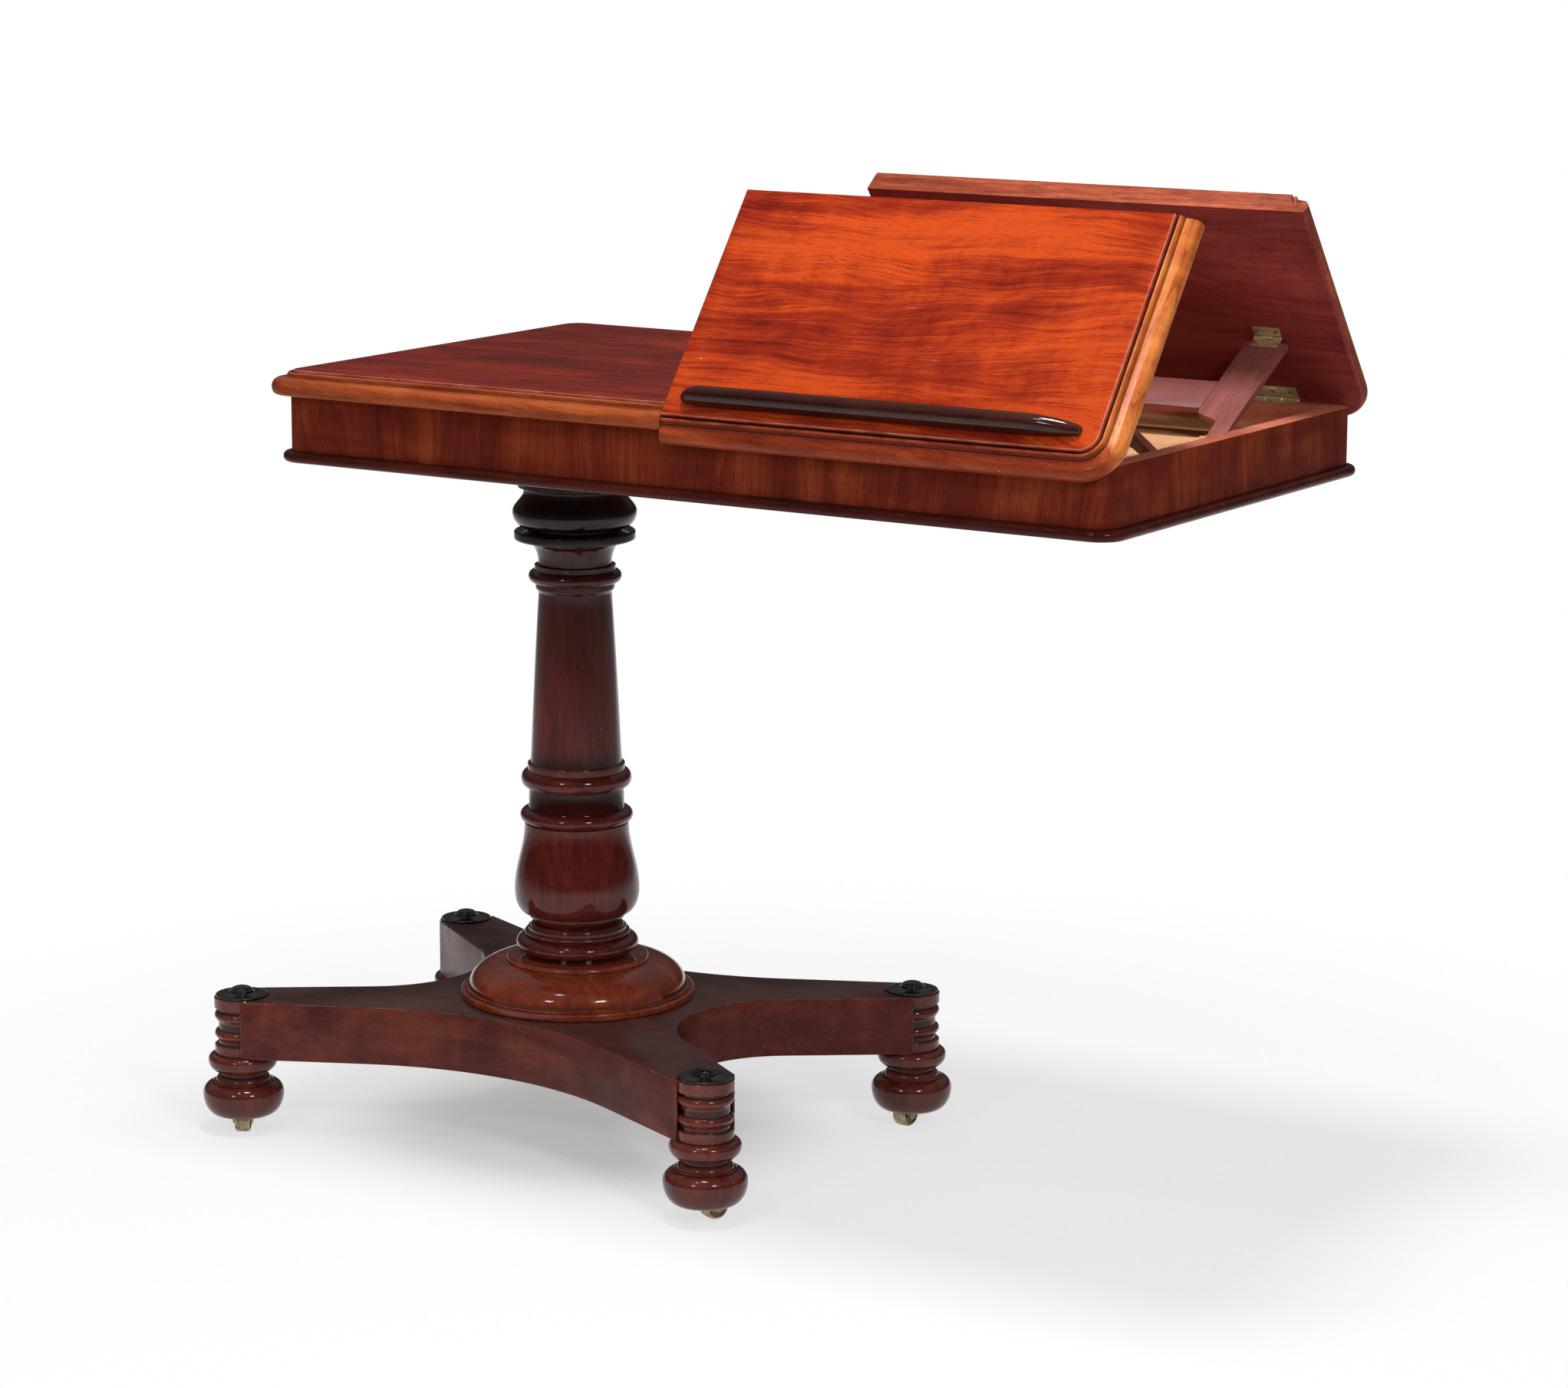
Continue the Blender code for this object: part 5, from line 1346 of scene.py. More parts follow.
def platform_outline():
    """Four arms on the diagonals with hollow sides between them."""
    half_x = (FEET["front_right"].x - FEET["front_left"].x) / 2
    half_y = (FEET["rear_right"].y - FEET["front_right"].y) / 2
    ends = [arm_end(x, y, half_x, half_y) for x, y in ((-1, -1), (1, -1), (1, 1), (-1, 1))]
    outline = []
    for i, end in enumerate(ends):
        hollow = (FRONT_HOLLOW, FRONT_HOLLOW_RADIUS) if i % 2 == 0 else (END_HOLLOW, END_HOLLOW_RADIUS)
        outline += end + hollow_side(end[-1], ends[(i + 1) % 4][0], *hollow)
    return outline


def build_platform():
    shape = prism(platform_outline(), PLATFORM_BOTTOM, PLATFORM_TOP)
    mesh = mesh_from(eased_edges(shape, PLATFORM_EASE), "platform")
    place = Matrix.Translation((COLUMN_X, 0, 0))
    mesh.materials.append(platform_side_veneer)
    mesh.materials.append(platform_top_veneer)
    for polygon in mesh.polygons:
        polygon.material_index = int(polygon.normal.z > 0.9)
    piece("platform", mesh, None, "stand", "x", (0.2, 0.1, 0.3), place)


def build_feet():
    for i, (name, place) in enumerate(FEET.items()):
        spot = Matrix.Translation(place)
        shift = (0.37 * i, 0.02, 0.05 * i)
        foot, cap = f"foot_{name}", f"foot_cap_{name}"
        mesh = turned(foot, foot_profile(name), foot_polish, FOOT_STEPS)
        piece(foot, mesh, foot_polish, "stand", "z", shift, spot)
        mesh = turned(cap, cap_profile(name), ebony_gloss, SMALL_STEPS)
        piece(cap, mesh, ebony_gloss, "stand", "z", shift, spot)


# Castors


def rod(radius, start, end, steps, along="z"):
    """A rod on a local axis with eased ends."""
    soft = min(radius, abs(end - start)) * ROD_EASE
    levels = [(start, radius - soft), (start + soft, radius), (end - soft, radius), (end, radius - soft)]
    angles = [math.tau * i / steps for i in range(steps)]
    rings = []
    for height, wide in levels:
        rings.append([(wide * math.cos(a), wide * math.sin(a), height) for a in angles])
    turn = {"x": Matrix.Rotation(math.pi / 2, 4, "Y"), "y": Matrix.Rotation(-math.pi / 2, 4, "X")}
    mesh = mesh_from(lofted(rings), "rod")
    mesh.transform(turn.get(along, Matrix.Identity(4)))
    return mesh


def cheek_mesh(inner, outer, top):
    """A fork's cheek, round at the axle and wider at the crown."""
    foot = arc((CASTOR_TRAIL, WHEEL_RADIUS), CHEEK_WIDTH / 2, 180, 360, 12)
    outline = foot + [(CASTOR_TRAIL + CHEEK_WIDTH / 2 + 0.0004, top), (-CHEEK_WIDTH * 0.55, top)]
    shape = lofted([[(x, y, z) for x, z in outline] for y in (inner, outer)])
    return mesh_from(eased_edges(shape, CHEEK_EASE), "cheek")


def fork_mesh():
    """Stem, crown, two cheeks and the riveted axle, with the castor trailing along local +X."""
    inner = WHEEL_WIDTH / 2 + CHEEK_GAP
    outer = inner + CHEEK_THICKNESS
    crown_top = CASTOR_WELL_TOP - SEAT_GAP
    crown_bottom = crown_top - CROWN_THICKNESS
    crown = rod(CROWN_RADIUS, crown_bottom, crown_top, 32)
    sides = ((inner, outer), (-outer, -inner))
    joined = [cheek_mesh(low, high, crown_bottom + CROWN_BITE) for low, high in sides]
    axle = rod(AXLE_RADIUS, -outer - CHEEK_GAP, outer + CHEEK_GAP, 20, "y")
    joined.append(moved(axle, Matrix.Translation((CASTOR_TRAIL, 0, WHEEL_RADIUS))))
    joined.append(rod(STEM_RADIUS, crown_bottom + CROWN_BITE, CASTOR_WELL_TOP + STEM_LENGTH, 20))
    return combined(crown, joined, "UNION", "castor_fork")


def wheel_profile():
    """A castor wheel with a rounded tread and dished sides, along its own axis."""
    half = WHEEL_WIDTH / 2
    bore = AXLE_RADIUS + AXLE_GAP
    side = [(bore, half), (bore + 0.0022, half), (bore + 0.0026, half - 0.0008), (0.0096, half - 0.0008)]
    side += [(0.0100, half), (0.0108, half)] + round_out((0.0108, half), (WHEEL_RADIUS, half - 0.0034), 6)
    return side + [(radius, -height) for radius, height in side[::-1]]


def build_castors():
    fork = fork_mesh()
    flat = Matrix.Translation((CASTOR_TRAIL, 0, WHEEL_RADIUS)) @ Matrix.Rotation(math.pi / 2, 4, "X")
    for name, place in FEET.items():
        spot = Matrix.Translation(place) @ Matrix.Rotation(CASTOR_TURNS[name], 4, "Z")
        piece(f"castor_fork_{name}", fork.copy(), castor_brass, f"castor_{name}", "z", place, spot)
        node = f"castor_wheel_{name}"
        mesh = turned(node, wheel_profile(), castor_brass, SMALL_STEPS, ring=True)
        piece(node, mesh, castor_brass, f"wheel_{name}", "z", place, spot @ flat)


# Box


def facing_turn(side):
    """A half turn about Z for a piece that is drawn for the rear and used at the front."""
    return Matrix.Identity(4) if side > 0 else Matrix.Rotation(math.pi, 4, "Z")


def hinge_bed_mesh(upper):
    """The recess for a hinge's leaf and barrel, in the slope above the axis or the rail below it."""
    barrel = HINGE_BARREL + HINGE_GAP
    width = HINGE_WIDTH + SEAT_GAP
    depth = HINGE_LIFT + HINGE_THICKNESS + SEAT_GAP
    outside = barrel if upper else barrel + TOP_OVERHANG
    outline = [(-width, -barrel), (outside, -barrel), (outside, barrel)]
    outline += [(-barrel, barrel), (-barrel, depth), (-width, depth)]
    if not upper:
        outline = [(y, -z) for y, z in outline]
    half = HINGE_LENGTH / 2 + HINGE_GAP
    return mesh_from(lofted([[(x, y, z) for y, z in outline] for x in (-half, half)]), "hinge_bed")


def rail_hinge_place(side, step):
    return Matrix.Translation((WELL_X + step * HINGE_X, side * AXIS_Y, AXIS_Z)) @ facing_turn(side)


def build_frieze():
    """The four sides of the box as one veneered frame, let in for the hinges."""
    low, high = frieze_low, frieze_high
    inner = (low, high, RAIL_THICKNESS, FRIEZE_INNER_CORNER)
    rings = [inset_ring(*inner, FRIEZE_BOTTOM), inset_ring(low, high, 0, FRIEZE_CORNER, FRIEZE_BOTTOM)]
    soft = RIM_EASE
    for inset, height in ((0, RIM - soft), (soft * 0.3, RIM - soft * 0.3), (soft, RIM)):
        rings.append(inset_ring(low, high, inset, FRIEZE_CORNER, height))
    rings.append(inset_ring(*inner, RIM))
    solid = mesh_from(lofted(rings, closed=True), "frieze")
    places = [rail_hinge_place(side, step) for side in SIDES.values() for step in HANDS.values()]
    beds = [moved(hinge_bed_mesh(False), place) for place in places]
    mesh = combined(solid, beds, "DIFFERENCE", "frieze")
    mesh.materials.clear()
    mesh.materials.append(frieze_veneer)
    mesh.materials.append(rail_wood)
    middle = Vector(((low[0] + high[0]) / 2, 0, 0))
    for polygon in mesh.polygons:
        sideways = abs(polygon.normal.z) < 0.5
        outwards = (polygon.center - middle).dot(polygon.normal) > 0
        past_end = abs(polygon.center.x - middle.x) - (high[0] - low[0]) / 2
        reach = max(past_end, abs(polygon.center.y) - high[1])
        polygon.material_index = 0 if sideways and outwards and reach > -FRIEZE_CORNER / 2 else 1
    nodes = ["front_frieze", "rear_frieze", "left_frieze", "right_frieze"]
    piece("frieze", mesh, None, "stand", "z", (0.0, 0.4, 0.1), nodes=nodes)


def build_bottom_board():
    """The board under the box, whose half-round edge is the moulding."""
    middle = (board_low.z + board_high.z) / 2
    half = (board_high.z - board_low.z) / 2
    rings = []
    for i in range(13):
        angle = math.pi * (i / 12 - 0.5)
        inset = BOTTOM_ROUND * (1 - math.cos(angle))
        height = middle + half * math.sin(angle)
        rings.append(inset_ring(board_low, board_high, inset, BOTTOM_CORNER - inset, height))
    for inset in BOTTOM_FLATS:
        flat = (board_low, board_high, inset, BOTTOM_CORNER - inset)
        rings.append(inset_ring(*flat, board_high.z))
        rings.insert(0, inset_ring(*flat, board_low.z))
    shape = lofted(rings)
    lay_crest(shape)
    mesh = mesh_from(shape, "bottom_board")
    piece("bottom_board", mesh, moulding_wood_painted_shade, "stand", "x", (0.3, 0.2, 0.6))


def eased_copy(node, finish, along, shift, ease_width):
    """A CAD solid of plain form, merged and with its edges eased."""
    shape = shape_from(frame["nodes"][node].data)
    bmesh.ops.dissolve_limit(shape, angle_limit=math.radians(1.0), verts=shape.verts, edges=shape.edges)
    mesh = mesh_from(eased_edges(shape, ease_width), node)
    piece(node, mesh, finish, frame["nodes"][node]["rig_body"], along, shift)


def build_inside():
    eased_copy("top_bearer", carcase_wood, "x", (0.1, 0.5, 0.2), 0.002)
    eased_copy("cross_rail", carcase_wood, "y", (0.7, 0.1, 0.4), 0.0006)
    eased_copy("well_floor", pale_board, "x", (0.2, 0.8, 0.1), 0.0004)
    for i, hand in enumerate(HANDS):
        eased_copy(f"ratchet_{hand}", pale_strip, "y", (0.4 * i, 0.3, 0.5), 0.0003)


# Leaf and slopes


def edge_levels():
    """The moulded edge from the underside to the field: distance in from the nose, and height."""
    levels = [(NOSE_UNDERCUT + 0.006, 0), (NOSE_UNDERCUT + 0.001, 0)]
    levels += round_out((NOSE_UNDERCUT, 0), (0, NOSE_MIDDLE), 8)
    levels += round_in((0, NOSE_MIDDLE), (NOSE_ROUND, NOSE_SHOULDER), 12)[1:]
    levels += [(NOSE_WIDTH, NOSE_HEIGHT)]
    levels += round_out((NOSE_WIDTH + 0.0003, NOSE_HEIGHT), COVE_END, 8)
    for i in range(11):
        angle = math.pi * i / 10
        inset = BEAD_START + BEAD_WIDTH * (1 - math.cos(angle)) / 2
        levels.append((inset, COVE_END[1] + (BEAD_HEIGHT - COVE_END[1]) * math.sin(angle)))
    quirk = BEAD_START + BEAD_WIDTH + 0.0002
    levels += [(quirk, QUIRK_HEIGHT), (quirk + QUIRK_WIDTH, QUIRK_HEIGHT)]
    edge = quirk + QUIRK_WIDTH + 0.0001
    levels += round_in((edge, TOP_THICKNESS - FIELD_EASE), (edge + FIELD_EASE, TOP_THICKNESS), 4)
    return levels + [(FIELD_BAND + 0.003, TOP_THICKNESS), (FIELD_BAND + 0.008, TOP_THICKNESS)]


def top_shape():
    """The whole top as one moulded board lying flat."""
    rings = []
    levels = edge_levels()
    bounds = ((TOP_LEFT, -TOP_HALF_DEPTH), (TOP_RIGHT, TOP_HALF_DEPTH))
    for inset, height in levels:
        rings.append(inset_ring(*bounds, inset, TOP_CORNER - inset, TOP_BOTTOM + height))
    shape = lofted(rings)
    lay_crest(shape)
    layer = shape.verts.layers.float.new("inset")
    shape.verts.ensure_lookup_table()
    for i, vert in enumerate(shape.verts):
        vert[layer] = levels[i // len(rings[0])][0]
    return shape


def cut_away(shape, point, normal):
    """Cuts a solid on a plane and closes it, keeping the part behind the normal."""
    geometry = shape.verts[:] + shape.edges[:] + shape.faces[:]
    made = bmesh.ops.bisect_plane(shape, geom=geometry, plane_co=point, plane_no=normal, clear_outer=True)
    edges = [item for item in made["geom_cut"] if isinstance(item, bmesh.types.BMEdge)]
    bmesh.ops.contextual_create(shape, geom=edges)
    bmesh.ops.recalc_face_normals(shape, faces=shape.faces)


def raised(side):
    """From a slope lying closed to the slope at its reading angle."""
    axis = Matrix.Translation((0, side * AXIS_Y, AXIS_Z))
    return axis @ Matrix.Rotation(-side * SLOPE_ANGLE, 4, "X") @ axis.inverted()


def build_leaf():
    shape = top_shape()
    cut_away(shape, (SEAM_X - SEAM_GAP / 2, 0, 0), (1, 0, 0))
    mesh = mesh_from(shape, "fixed_leaf")
    piece("fixed_leaf", mesh, leaf_polish, "stand", "x", LEAF_SHIFT)


SLOPE_TIMBER = {"front": (front_slope_polish, FRONT_SHIFT), "rear": (rear_slope_polish, REAR_SHIFT)}


def build_slope(name, side, finish, shift):
    shape = top_shape()
    cut_away(shape, (SEAM_X + SEAM_GAP / 2, 0, 0), (-1, 0, 0))
    cut_away(shape, (0, side * SEAM_GAP / 2, 0), (0, -side, 0))
    board = f"{name}_slope"
    beds = [moved(hinge_bed_mesh(True), rail_hinge_place(side, step)) for step in HANDS.values()]
    mesh = combined(mesh_from(shape, board), beds, "DIFFERENCE", board)
    mesh.materials.clear()
    for part in (finish, slope_back, slope_edge):
        mesh.materials.append(part)
    for polygon in mesh.polygons:
        low_face = polygon.center.z < TOP_BOTTOM + NOSE_MIDDLE * 0.5 and abs(polygon.normal.z) > 0.5
        cut_face = polygon.normal.x < -0.99 or polygon.normal.y * side < -0.99
        polygon.material_index = 1 if low_face else 2 if cut_face else 0
    piece(board, mesh, None, f"{name}_flap", "x", shift, raised(side))


def ledge_section(height, count=14):
    """A ledge's section across its length: flat on the slope, with a full round top."""
    half = LEDGE_THICKNESS / 2
    crown = min(half, height * LEDGE_CROWN)
    points = [(-half, 0), (half, 0)]
    for i in range(count + 1):
        angle = math.pi * i / count
        points.append((half * math.cos(angle), height - crown + crown * math.sin(angle)))
    return points


def ledge_mesh():
    """A long bar with bullet-shaped ends, the right one drawn out."""
    half = LEDGE_LENGTH / 2
    stations = []
    for hand, run in ((-1, LEDGE_SHORT_END), (1, LEDGE_LONG_END)):
        shares = [math.sin(math.pi / 2 * i / 24) for i in range(25)]
        end = [(hand * (half - run + run * s), 1 - s * s) for s in shares]
        stations += end[::hand]
    rings = []
    for x, share in stations:
        height = LEDGE_TIP + (LEDGE_HEIGHT - LEDGE_TIP) * share
        narrow = LEDGE_END_WIDTH + (1 - LEDGE_END_WIDTH) * share**0.5
        rings.append([(x, y * narrow, z) for y, z in ledge_section(height)])
    shape = lofted(rings)
    lay_crest(shape)
    return mesh_from(shape, "ledge")


def build_ledge(name, side):
    seat = AXIS_Z + RIM_GAP / 2 + TOP_THICKNESS + SEAT_GAP
    on_slope = Matrix.Translation((WELL_X, side * (AXIS_Y - LEDGE_FROM_AXIS), seat))
    place = raised(side) @ on_slope @ facing_turn(-side)
    shift = (0.6, 0.4, side)
    piece(f"{name}_ledge", ledge_mesh(), ledge_polish, f"{name}_flap", "x", shift, place)


# Hinges


def hinge_leaf_mesh(name, length, width, thickness, barrel, pin, lift, upper):
    """One leaf of a butt hinge about local X, its plate towards -Y.

    The upper leaf has the middle knuckle, bored for the pin. The lower leaf has the two end
    knuckles and holds the pin.
    """
    third = length / 6
    inner_edge = -(barrel + HINGE_GAP)
    low, high = (lift, lift + thickness) if upper else (-lift - thickness, -lift)
    corner = min(PLATE_CORNER, width / 8)
    plate_outline = rectangle((-length / 2, -width), (length / 2, inner_edge), (corner, corner, 0, 0), 5)
    plate = mesh_from(eased_edges(prism(plate_outline, low, high), PLATE_EASE), "plate")
    middle = (-third + HINGE_GAP / 2, third - HINGE_GAP / 2)
    ends = ((-length / 2, -third - HINGE_GAP / 2), (third + HINGE_GAP / 2, length / 2))
    joined = []
    for start, end in (middle,) if upper else ends:
        joined.append(mesh_from(block((start, inner_edge - barrel, low), (end, 0, high)), "tongue"))
        joined.append(rod(barrel, start, end, 24, "x"))
    if not upper:
        joined.append(rod(pin, barrel - length / 2, length / 2 - barrel, 16, "x"))
        return combined(plate, joined, "UNION", name)
    whole = combined(plate, joined, "UNION", name)
    return combined(whole, [rod(pin + AXLE_GAP, -2 * third, 2 * third, 16, "x")], "DIFFERENCE", name)


SLOPE_HINGE = (HINGE_LENGTH, HINGE_WIDTH, HINGE_THICKNESS, HINGE_BARREL, HINGE_PIN, HINGE_LIFT)
PROP_HINGE = (
    PROP_HINGE_LENGTH,
    PROP_HINGE_WIDTH,
    PROP_HINGE_THICKNESS,
    PROP_HINGE_BARREL,
    PROP_HINGE_PIN,
    PROP_HINGE_LIFT,
)


def slope_pivot_place(side, x):
    """The frame of a prop hinge's leaf on the slope."""
    on_slope = Matrix.Translation((WELL_X + side * x, side * (AXIS_Y - PROP_PIVOT_UP), AXIS_Z + PIVOT_BELOW))
    return raised(side) @ on_slope @ facing_turn(side)


def pivot_place(side):
    """The frame of a prop's pivot with the prop unfolded."""
    return slope_pivot_place(side, 0) @ Matrix.Rotation(PROP_UNFOLD, 4, "X")


def hand_at(side, step):
    """The hand, seen from the front, of a piece at this step along its own local X."""
    return "right" if side * step > 0 else "left"


def screw_points(sizes, count, upper):
    """Places of a hinge leaf's screws, on the face of the plate that shows."""
    length, width, _, barrel, _, lift = sizes
    inner = barrel + HINGE_GAP
    y = -(inner + (width - inner) * SCREW_ACROSS)
    z = lift if upper else -lift
    return [(length * SCREW_ALONG * (2 * i / (count - 1) - 1), y, z) for i in range(count)]


screws = {}


def add_screws(body, place, sizes, count, upper):
    """Notes a leaf's screws under its body: their places and the way they face."""
    facing = (place.to_3x3() @ Vector((0, 0, -1 if upper else 1))).normalized()
    for point in screw_points(sizes, count, upper):
        screws.setdefault(body, []).append((place @ Vector(point), facing))


def fit_leaf(name, body, place, sizes, count, upper):
    """A hinge leaf in its place, with its screws noted."""
    mesh = hinge_leaf_mesh(name, *sizes, upper)
    piece(name, mesh, aged_brass, body, "x", place.translation, place)
    add_screws(body, place, sizes, count, upper)


def build_hinges(name, side):
    for hand, step in HANDS.items():
        place = rail_hinge_place(side, step)
        fit_leaf(f"{name}_hinge_rail_leaf_{hand}", "stand", place, SLOPE_HINGE, 3, False)
        place = raised(side) @ place
        fit_leaf(f"{name}_hinge_slope_leaf_{hand}", f"{name}_flap", place, SLOPE_HINGE, 3, True)


# Props


def leg_outline():
    """A prop's leg, its outer edge on local Y, from the pivot outwards, with an ogee to the foot."""
    foot_start = PROP_LENGTH - PROP_FOOT_LENGTH
    ogee_start = foot_start - PROP_OGEE
    curve = ease((PROP_LEG_WIDTH, ogee_start), (PROP_FOOT_WIDTH, foot_start), 16)
    inner = [(PROP_LEG_WIDTH, PROP_TOP_START)] + curve + [(PROP_FOOT_WIDTH, PROP_LENGTH)]
    return [(-x, -y) for x, y in [(0, PROP_TOP_START)] + inner + [(0, PROP_LENGTH)]]


def leg_mesh(step):
    """A leg lying folded, its foot thinned on both faces to a blunt tip."""
    outline = [(step * (PROP_OUTER_X + x), y) for x, y in leg_outline()][::-step]
    shape = prism(outline, -PROP_DROP - PROP_THICKNESS, -PROP_DROP)
    shoulder = -(PROP_LENGTH - PROP_TIP_BEVEL)
    geometry = shape.verts[:] + shape.edges[:] + shape.faces[:]
    bmesh.ops.bisect_plane(shape, geom=geometry, plane_co=(0, shoulder, 0), plane_no=(0, -1, 0))
    middle = -PROP_DROP - PROP_THICKNESS / 2
    for vert in shape.verts:
        if vert.co.y < -PROP_LENGTH + 0.00001:
            vert.co.z = middle + (vert.co.z - middle) * PROP_TIP / PROP_THICKNESS
    return mesh_from(eased_edges(shape, PROP_EASE, sharpest=50.0), "leg")


def build_prop(name, side):
    """Two legs and a rail, drawn folded up to the slope about the pivot."""
    pivot = pivot_place(side)
    strut, flap = f"{name}_strut", f"{name}_flap"
    for step in (-1, 1):
        hand = hand_at(side, step)
        shift = (0.2, 0.1 * step, 0.3 * side)
        piece(f"{name}_prop_leg_{hand}", leg_mesh(step), prop_wood, strut, "y", shift, pivot)
        hinge_x = step * (PROP_OUTER_X - PROP_LEG_WIDTH / 2)
        place = pivot @ Matrix.Translation((hinge_x, 0, 0))
        fit_leaf(f"{name}_prop_hinge_prop_leaf_{hand}", strut, place, PROP_HINGE, 2, False)
        place = slope_pivot_place(side, hinge_x)
        fit_leaf(f"{name}_prop_hinge_slope_leaf_{hand}", flap, place, PROP_HINGE, 2, True)
    inner_x = PROP_OUTER_X - PROP_LEG_WIDTH - SEAT_GAP
    low = (-inner_x, -PROP_RAIL_START - PROP_RAIL_HEIGHT, -PROP_DROP - PROP_THICKNESS)
    high = (inner_x, -PROP_RAIL_START, -PROP_DROP)
    node = f"{name}_prop_rail"
    rail = mesh_from(eased_edges(block(low, high), PROP_EASE), node)
    piece(node, rail, prop_wood, strut, "x", (0.5, 0.3, 0.2 * side), pivot)


# Screws


def screw_tree():
    """Slotted screw heads on points, each facing its own way and turned at random about itself."""
    inputs = [("Points", GEOMETRY, None), ("Radius", FLOAT, SCREW_RADIUS), ("Height", FLOAT, SCREW_HEIGHT)]
    inputs += [("Slot", FLOAT, SCREW_SLOT), ("Seed", WHOLE, 3), ("Finish", MATERIAL, None)]
    hand, given, made = new_group("screw_heads", "GeometryNodeTree", inputs, [("Screws", GEOMETRY, None)])
    radius, height, slot = (given[key] for key in ("Radius", "Height", "Slot"))
    top = hand.times(radius, SCREW_TAPER)
    head = hand.add("GeometryNodeMeshCone", Vertices=20, Side_Segments=1, Depth=height)
    hand.feed(head.inputs["Radius Bottom"], radius)
    hand.feed(head.inputs["Radius Top"], top)
    long = hand.times(radius, 4.0)
    bar = hand.add("GeometryNodeMeshCube")
    hand.feed(bar.inputs["Size"], hand.add("ShaderNodeCombineXYZ", X=long, Y=slot, Z=height).outputs[0])
    lift = hand.add("ShaderNodeCombineXYZ", Z=hand.times(height, 0.95))
    raised_bar = hand.add("GeometryNodeTransform", Geometry=bar.outputs["Mesh"], Translation=lift.outputs[0])
    cut = hand.add("GeometryNodeMeshBoolean", {"operation": "DIFFERENCE", "solver": "EXACT"})
    hand.feed(cut.inputs["Mesh 1"], head.outputs["Mesh"])
    hand.feed(cut.inputs["Mesh 2"], raised_bar.outputs[0])
    facing = hand.add("GeometryNodeInputNamedAttribute", {"data_type": "FLOAT_VECTOR"}, Name="facing")
    way = facing.outputs["Attribute"]
    aligned = hand.add("FunctionNodeAlignRotationToVector", {"axis": "Z"}, Vector=way)
    chance = hand.add("FunctionNodeRandomValue", {"data_type": "FLOAT"}, Seed=given["Seed"])
    chance.inputs[2].default_value = 0.0
    chance.inputs[3].default_value = math.pi
    spin = hand.add("FunctionNodeAxisAngleToRotation", Axis=(0, 0, 1), Angle=chance.outputs[1])
    turn = hand.add("FunctionNodeRotateRotation", {"rotation_space": "LOCAL"})
    hand.feed(turn.inputs["Rotation"], aligned.outputs["Rotation"])
    hand.feed(turn.inputs["Rotate By"], spin.outputs["Rotation"])
    spots = hand.add("GeometryNodeInstanceOnPoints", Points=given["Points"], Instance=cut.outputs["Mesh"])
    hand.feed(spots.inputs["Rotation"], turn.outputs["Rotation"])
    whole = hand.add("GeometryNodeRealizeInstances", Geometry=spots.outputs["Instances"])
    done = hand.add("GeometryNodeSetMaterial", Geometry=whole.outputs[0], Material=given["Finish"])
    hand.feed(made["Screws"], done.outputs[0])
    return hand.tree


def build_screws():
    """One piece of screw heads for each body that carries any."""
    tree = screw_tree()
    for body, spots in screws.items():
        points = bpy.data.meshes.new("screw_points")
        points.from_pydata([place for place, _ in spots], [], [])
        layer = points.attributes.new("facing", "FLOAT_VECTOR", "POINT")
        for value, (_, facing) in zip(layer.data, spots):
            value.vector = facing
        radius = SMALL_SCREW_RADIUS if body.endswith("strut") else SCREW_RADIUS
        sizes = {"Radius": radius, "Height": SCREW_HEIGHT, "Slot": SCREW_SLOT, "Seed": len(body)}
        mesh = grown(tree, points, {**sizes, "Finish": screw_brass}, f"{body}_screws")
        piece(f"{body}_screws", mesh, screw_brass, body, "x", nodes=())


build_platform()
build_feet()
build_castors()
build_column()
build_frieze()
build_bottom_board()
build_inside()
build_leaf()
for side_name, side_sign in SIDES.items():
    build_slope(side_name, side_sign, *SLOPE_TIMBER[side_name])
    build_ledge(side_name, side_sign)
    build_hinges(side_name, side_sign)
    build_prop(side_name, side_sign)
build_screws()


# Floor, light and camera

CAMERA_PLACE = (2.2382, -3.4944, 1.2653)
CAMERA_AZIMUTH = math.radians(32.259)
CAMERA_PITCH = math.radians(11.152)
CAMERA_ROLL = math.radians(0.145)
CAMERA_LENS = 104.915
FLOOR_REACH = 40.0
FLOOR_FADE = (0.55, 1.20)
FLOOR_SHADE = (0.12, 0.27)
FLOOR_SHARES = (0.40, 0.67)
PAPER_REACH = (1.0, 1.8)
ROOM_RISE = (0.05, 0.75)
ROOM_LIGHT = (0.04, 0.30)

# Box overhead: place, target, size and watts
OVERHEAD_BOX = ((0.17, -0.34, 2.94), (0.1, 0.0, 0.5), (0.50, 0.50), 50.0)
BOX_TARGET = (0.0, 0.0, 0.45)

# Small boxes in front: turn from the camera's bearing, reach, height, watts and size
FRONT_BOXES = (
    ("left_box", -30.0, 3.4, 2.15, 16.0, (0.50, 0.40)),
    ("right_box", 28.0, 3.4, 2.15, 30.0, (0.60, 0.46)),
    ("high_box", -30.0, 1.36, 2.94, 5.0, (0.26, 0.18)),
)


